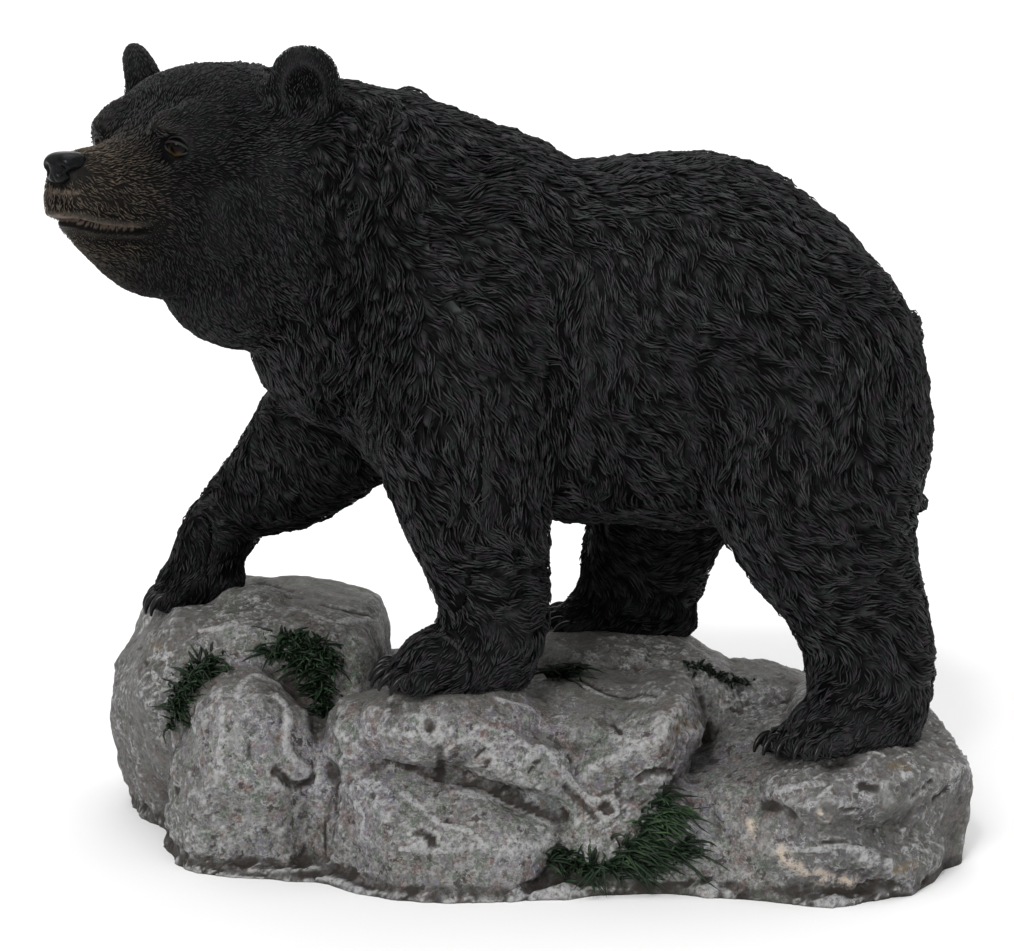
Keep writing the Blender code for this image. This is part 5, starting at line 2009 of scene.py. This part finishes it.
def grassPiece():
    # Blades that grow from the clefts and cling to the stones, as they are moulded on them.
    points, normals = pointsOf(rockSkin.data)
    places = points / share
    tree = treeOf(places)
    random = np.random.default_rng(3)
    t = np.linspace(0, 1, grassLook["rings"])
    paths, ups, widths, tones = [], [], [], []
    for run, reach, length, count, growth, tone in grassLook["tufts"]:
        line = np.array(smoothRows(seenOn(rockSkin, run), 8))
        roots = line[random.integers(len(line), size=count)] + random.normal(0, reach * 0.45, (count, 3))
        roots = places[nearestOf(tree, roots)]
        way = np.array((growth[0], -grassLook["lean"], growth[1]))
        way = unit(way + random.normal(0, grassLook["unevenWay"], (count, 3)))
        bow = np.column_stack([way[:, 0] * 0.9, way[:, 1] * 0.9, -1.1 * np.ones(count)])
        bow += random.normal(0, grassLook["unevenBow"], (count, 3))
        lengths = length * random.uniform(*grassLook["lengths"], count)
        path = way[:, None] * t[None, :, None] + bow[:, None] * (t**2 * 0.5)[None, :, None]
        path = roots[:, None] + path * lengths[:, None, None]
        near = nearestOf(tree, path)
        height = ((path - places[near]) * normals[near]).sum(-1)
        wanted = np.clip(height, grassLook["closest"], grassLook["highest"])
        wanted[:, 0] = -grassLook["rootDepth"]
        path = path + normals[near] * (wanted - height)[..., None]
        path[..., 2] = np.maximum(path[..., 2], grassLook["lowest"])
        across = unit(np.cross(way, np.array((0.2, -1, 0.3))))
        girth = np.interp(t, *grassLook["girth"])
        paths.append(path)
        ups.append(np.repeat(unit(np.cross(across, way))[:, None], len(t), 1))
        halfWidths = grassLook["halfWidth"] * random.uniform(*grassLook["widths"], count)
        widths.append(girth[None, :] * halfWidths[:, None])
        tones.append(0.02 + tone + 0.68 * t[None, :] + random.normal(0, 0.2, count)[:, None])
    widths = np.concatenate(widths)
    template = sliverTemplate(grassLook["rings"])
    values = {"tone": np.clip(np.concatenate(tones), 0, 1)}
    paths, ups = np.concatenate(paths), np.concatenate(ups)
    made = slivers("grass", template, paths, ups, widths, widths * 0.7, values)
    template.free()
    return made


piece(grassPiece(), grassMaterial())
print("grass made")


# Stage, light and camera

stageLook = {"side": 8, "front": -4, "floor": 12, "bend": 0.4, "bends": 12, "wall": 4}
stagePaint = ((0.87, 0.87, 0.87), (0.9, 0.9, 0.9))
lightLook = {
    # From where, strength and how wide in degrees.
    "key": ((-0.4, -0.8, 0.6), 1.5, 24),
    "spark": ((-0.25, -0.75, 0.7), 0.5, 4),
    "top": ((0.05, 0.15, 1), 1.4, 60),
    "fill": ((0.75, -0.5, 0.3), 0.35, 60),
}
worldStrength = 0.5


def stageMaterial():
    made, tree, shader = newMaterial("pale floor", 0.9, 0.1)
    colour = mixed(tree, stepped(tree, noiseNode(tree, 3, 2.0), 0.3, 0.7), *stagePaint)
    tree.links.new(colour, shader.inputs["Base Color"])
    return made


def backdrop():
    # A floor that bends up into a wall far behind.
    bm = bmesh.new()
    ends = [bm.verts.new((x, stageLook["front"], 0)) for x in (-stageLook["side"], stageLook["side"])]
    edges = [bm.edges.new(ends)]
    steps = [(0, stageLook["floor"], 0)]
    for angle in np.linspace(0.05, 1.5, stageLook["bends"]):
        steps.append((0, stageLook["bend"] * math.cos(angle), stageLook["bend"] * math.sin(angle)))
    steps.append((0, 0, stageLook["wall"]))
    for step in steps:
        verts, edges = extruded(bm, edges)
        bmesh.ops.translate(bm, vec=step, verts=verts)
    bmesh.ops.recalc_face_normals(bm, faces=bm.faces)
    made = asObject("backdrop", bm)
    made.data.materials.append(stageMaterial())
    smoothShaded(made)
    return made


def softSun(name, place, strength, width):
    light = bpy.data.lights.new(name, "SUN")
    light.energy = strength
    light.angle = math.radians(width)
    made = bpy.data.objects.new(name, light)
    made.rotation_mode = "QUATERNION"
    made.rotation_quaternion = (-Vector(place)).to_track_quat("-Z", "Y")
    bpy.context.scene.collection.objects.link(made)


backdrop()
for name, (place, strength, width) in lightLook.items():
    softSun(name, place, strength, width)
world = bpy.data.worlds.new("soft white")
bpy.context.scene.world = world
world.use_nodes = True
world.node_tree.nodes["Background"].inputs["Color"].default_value = (1, 1, 1, 1)
world.node_tree.nodes["Background"].inputs["Strength"].default_value = worldStrength
bpy.context.scene.view_settings.view_transform = "Standard"

camera = bpy.data.objects.new("camera", bpy.data.cameras.new("camera"))
camera.data.lens = cameraLook["lens"]
camera.data.sensor_width = cameraLook["sensor"]
camera.data.clip_start = cameraLook["nearest"]
camera.location = Vector(cameraLook["target"]) + backOfCamera() * cameraLook["distance"]
camera.rotation_mode = "QUATERNION"
camera.rotation_quaternion = (-backOfCamera()).to_track_quat("-Z", "Y")
bpy.context.scene.collection.objects.link(camera)
bpy.context.scene.camera = camera
print("stage made")
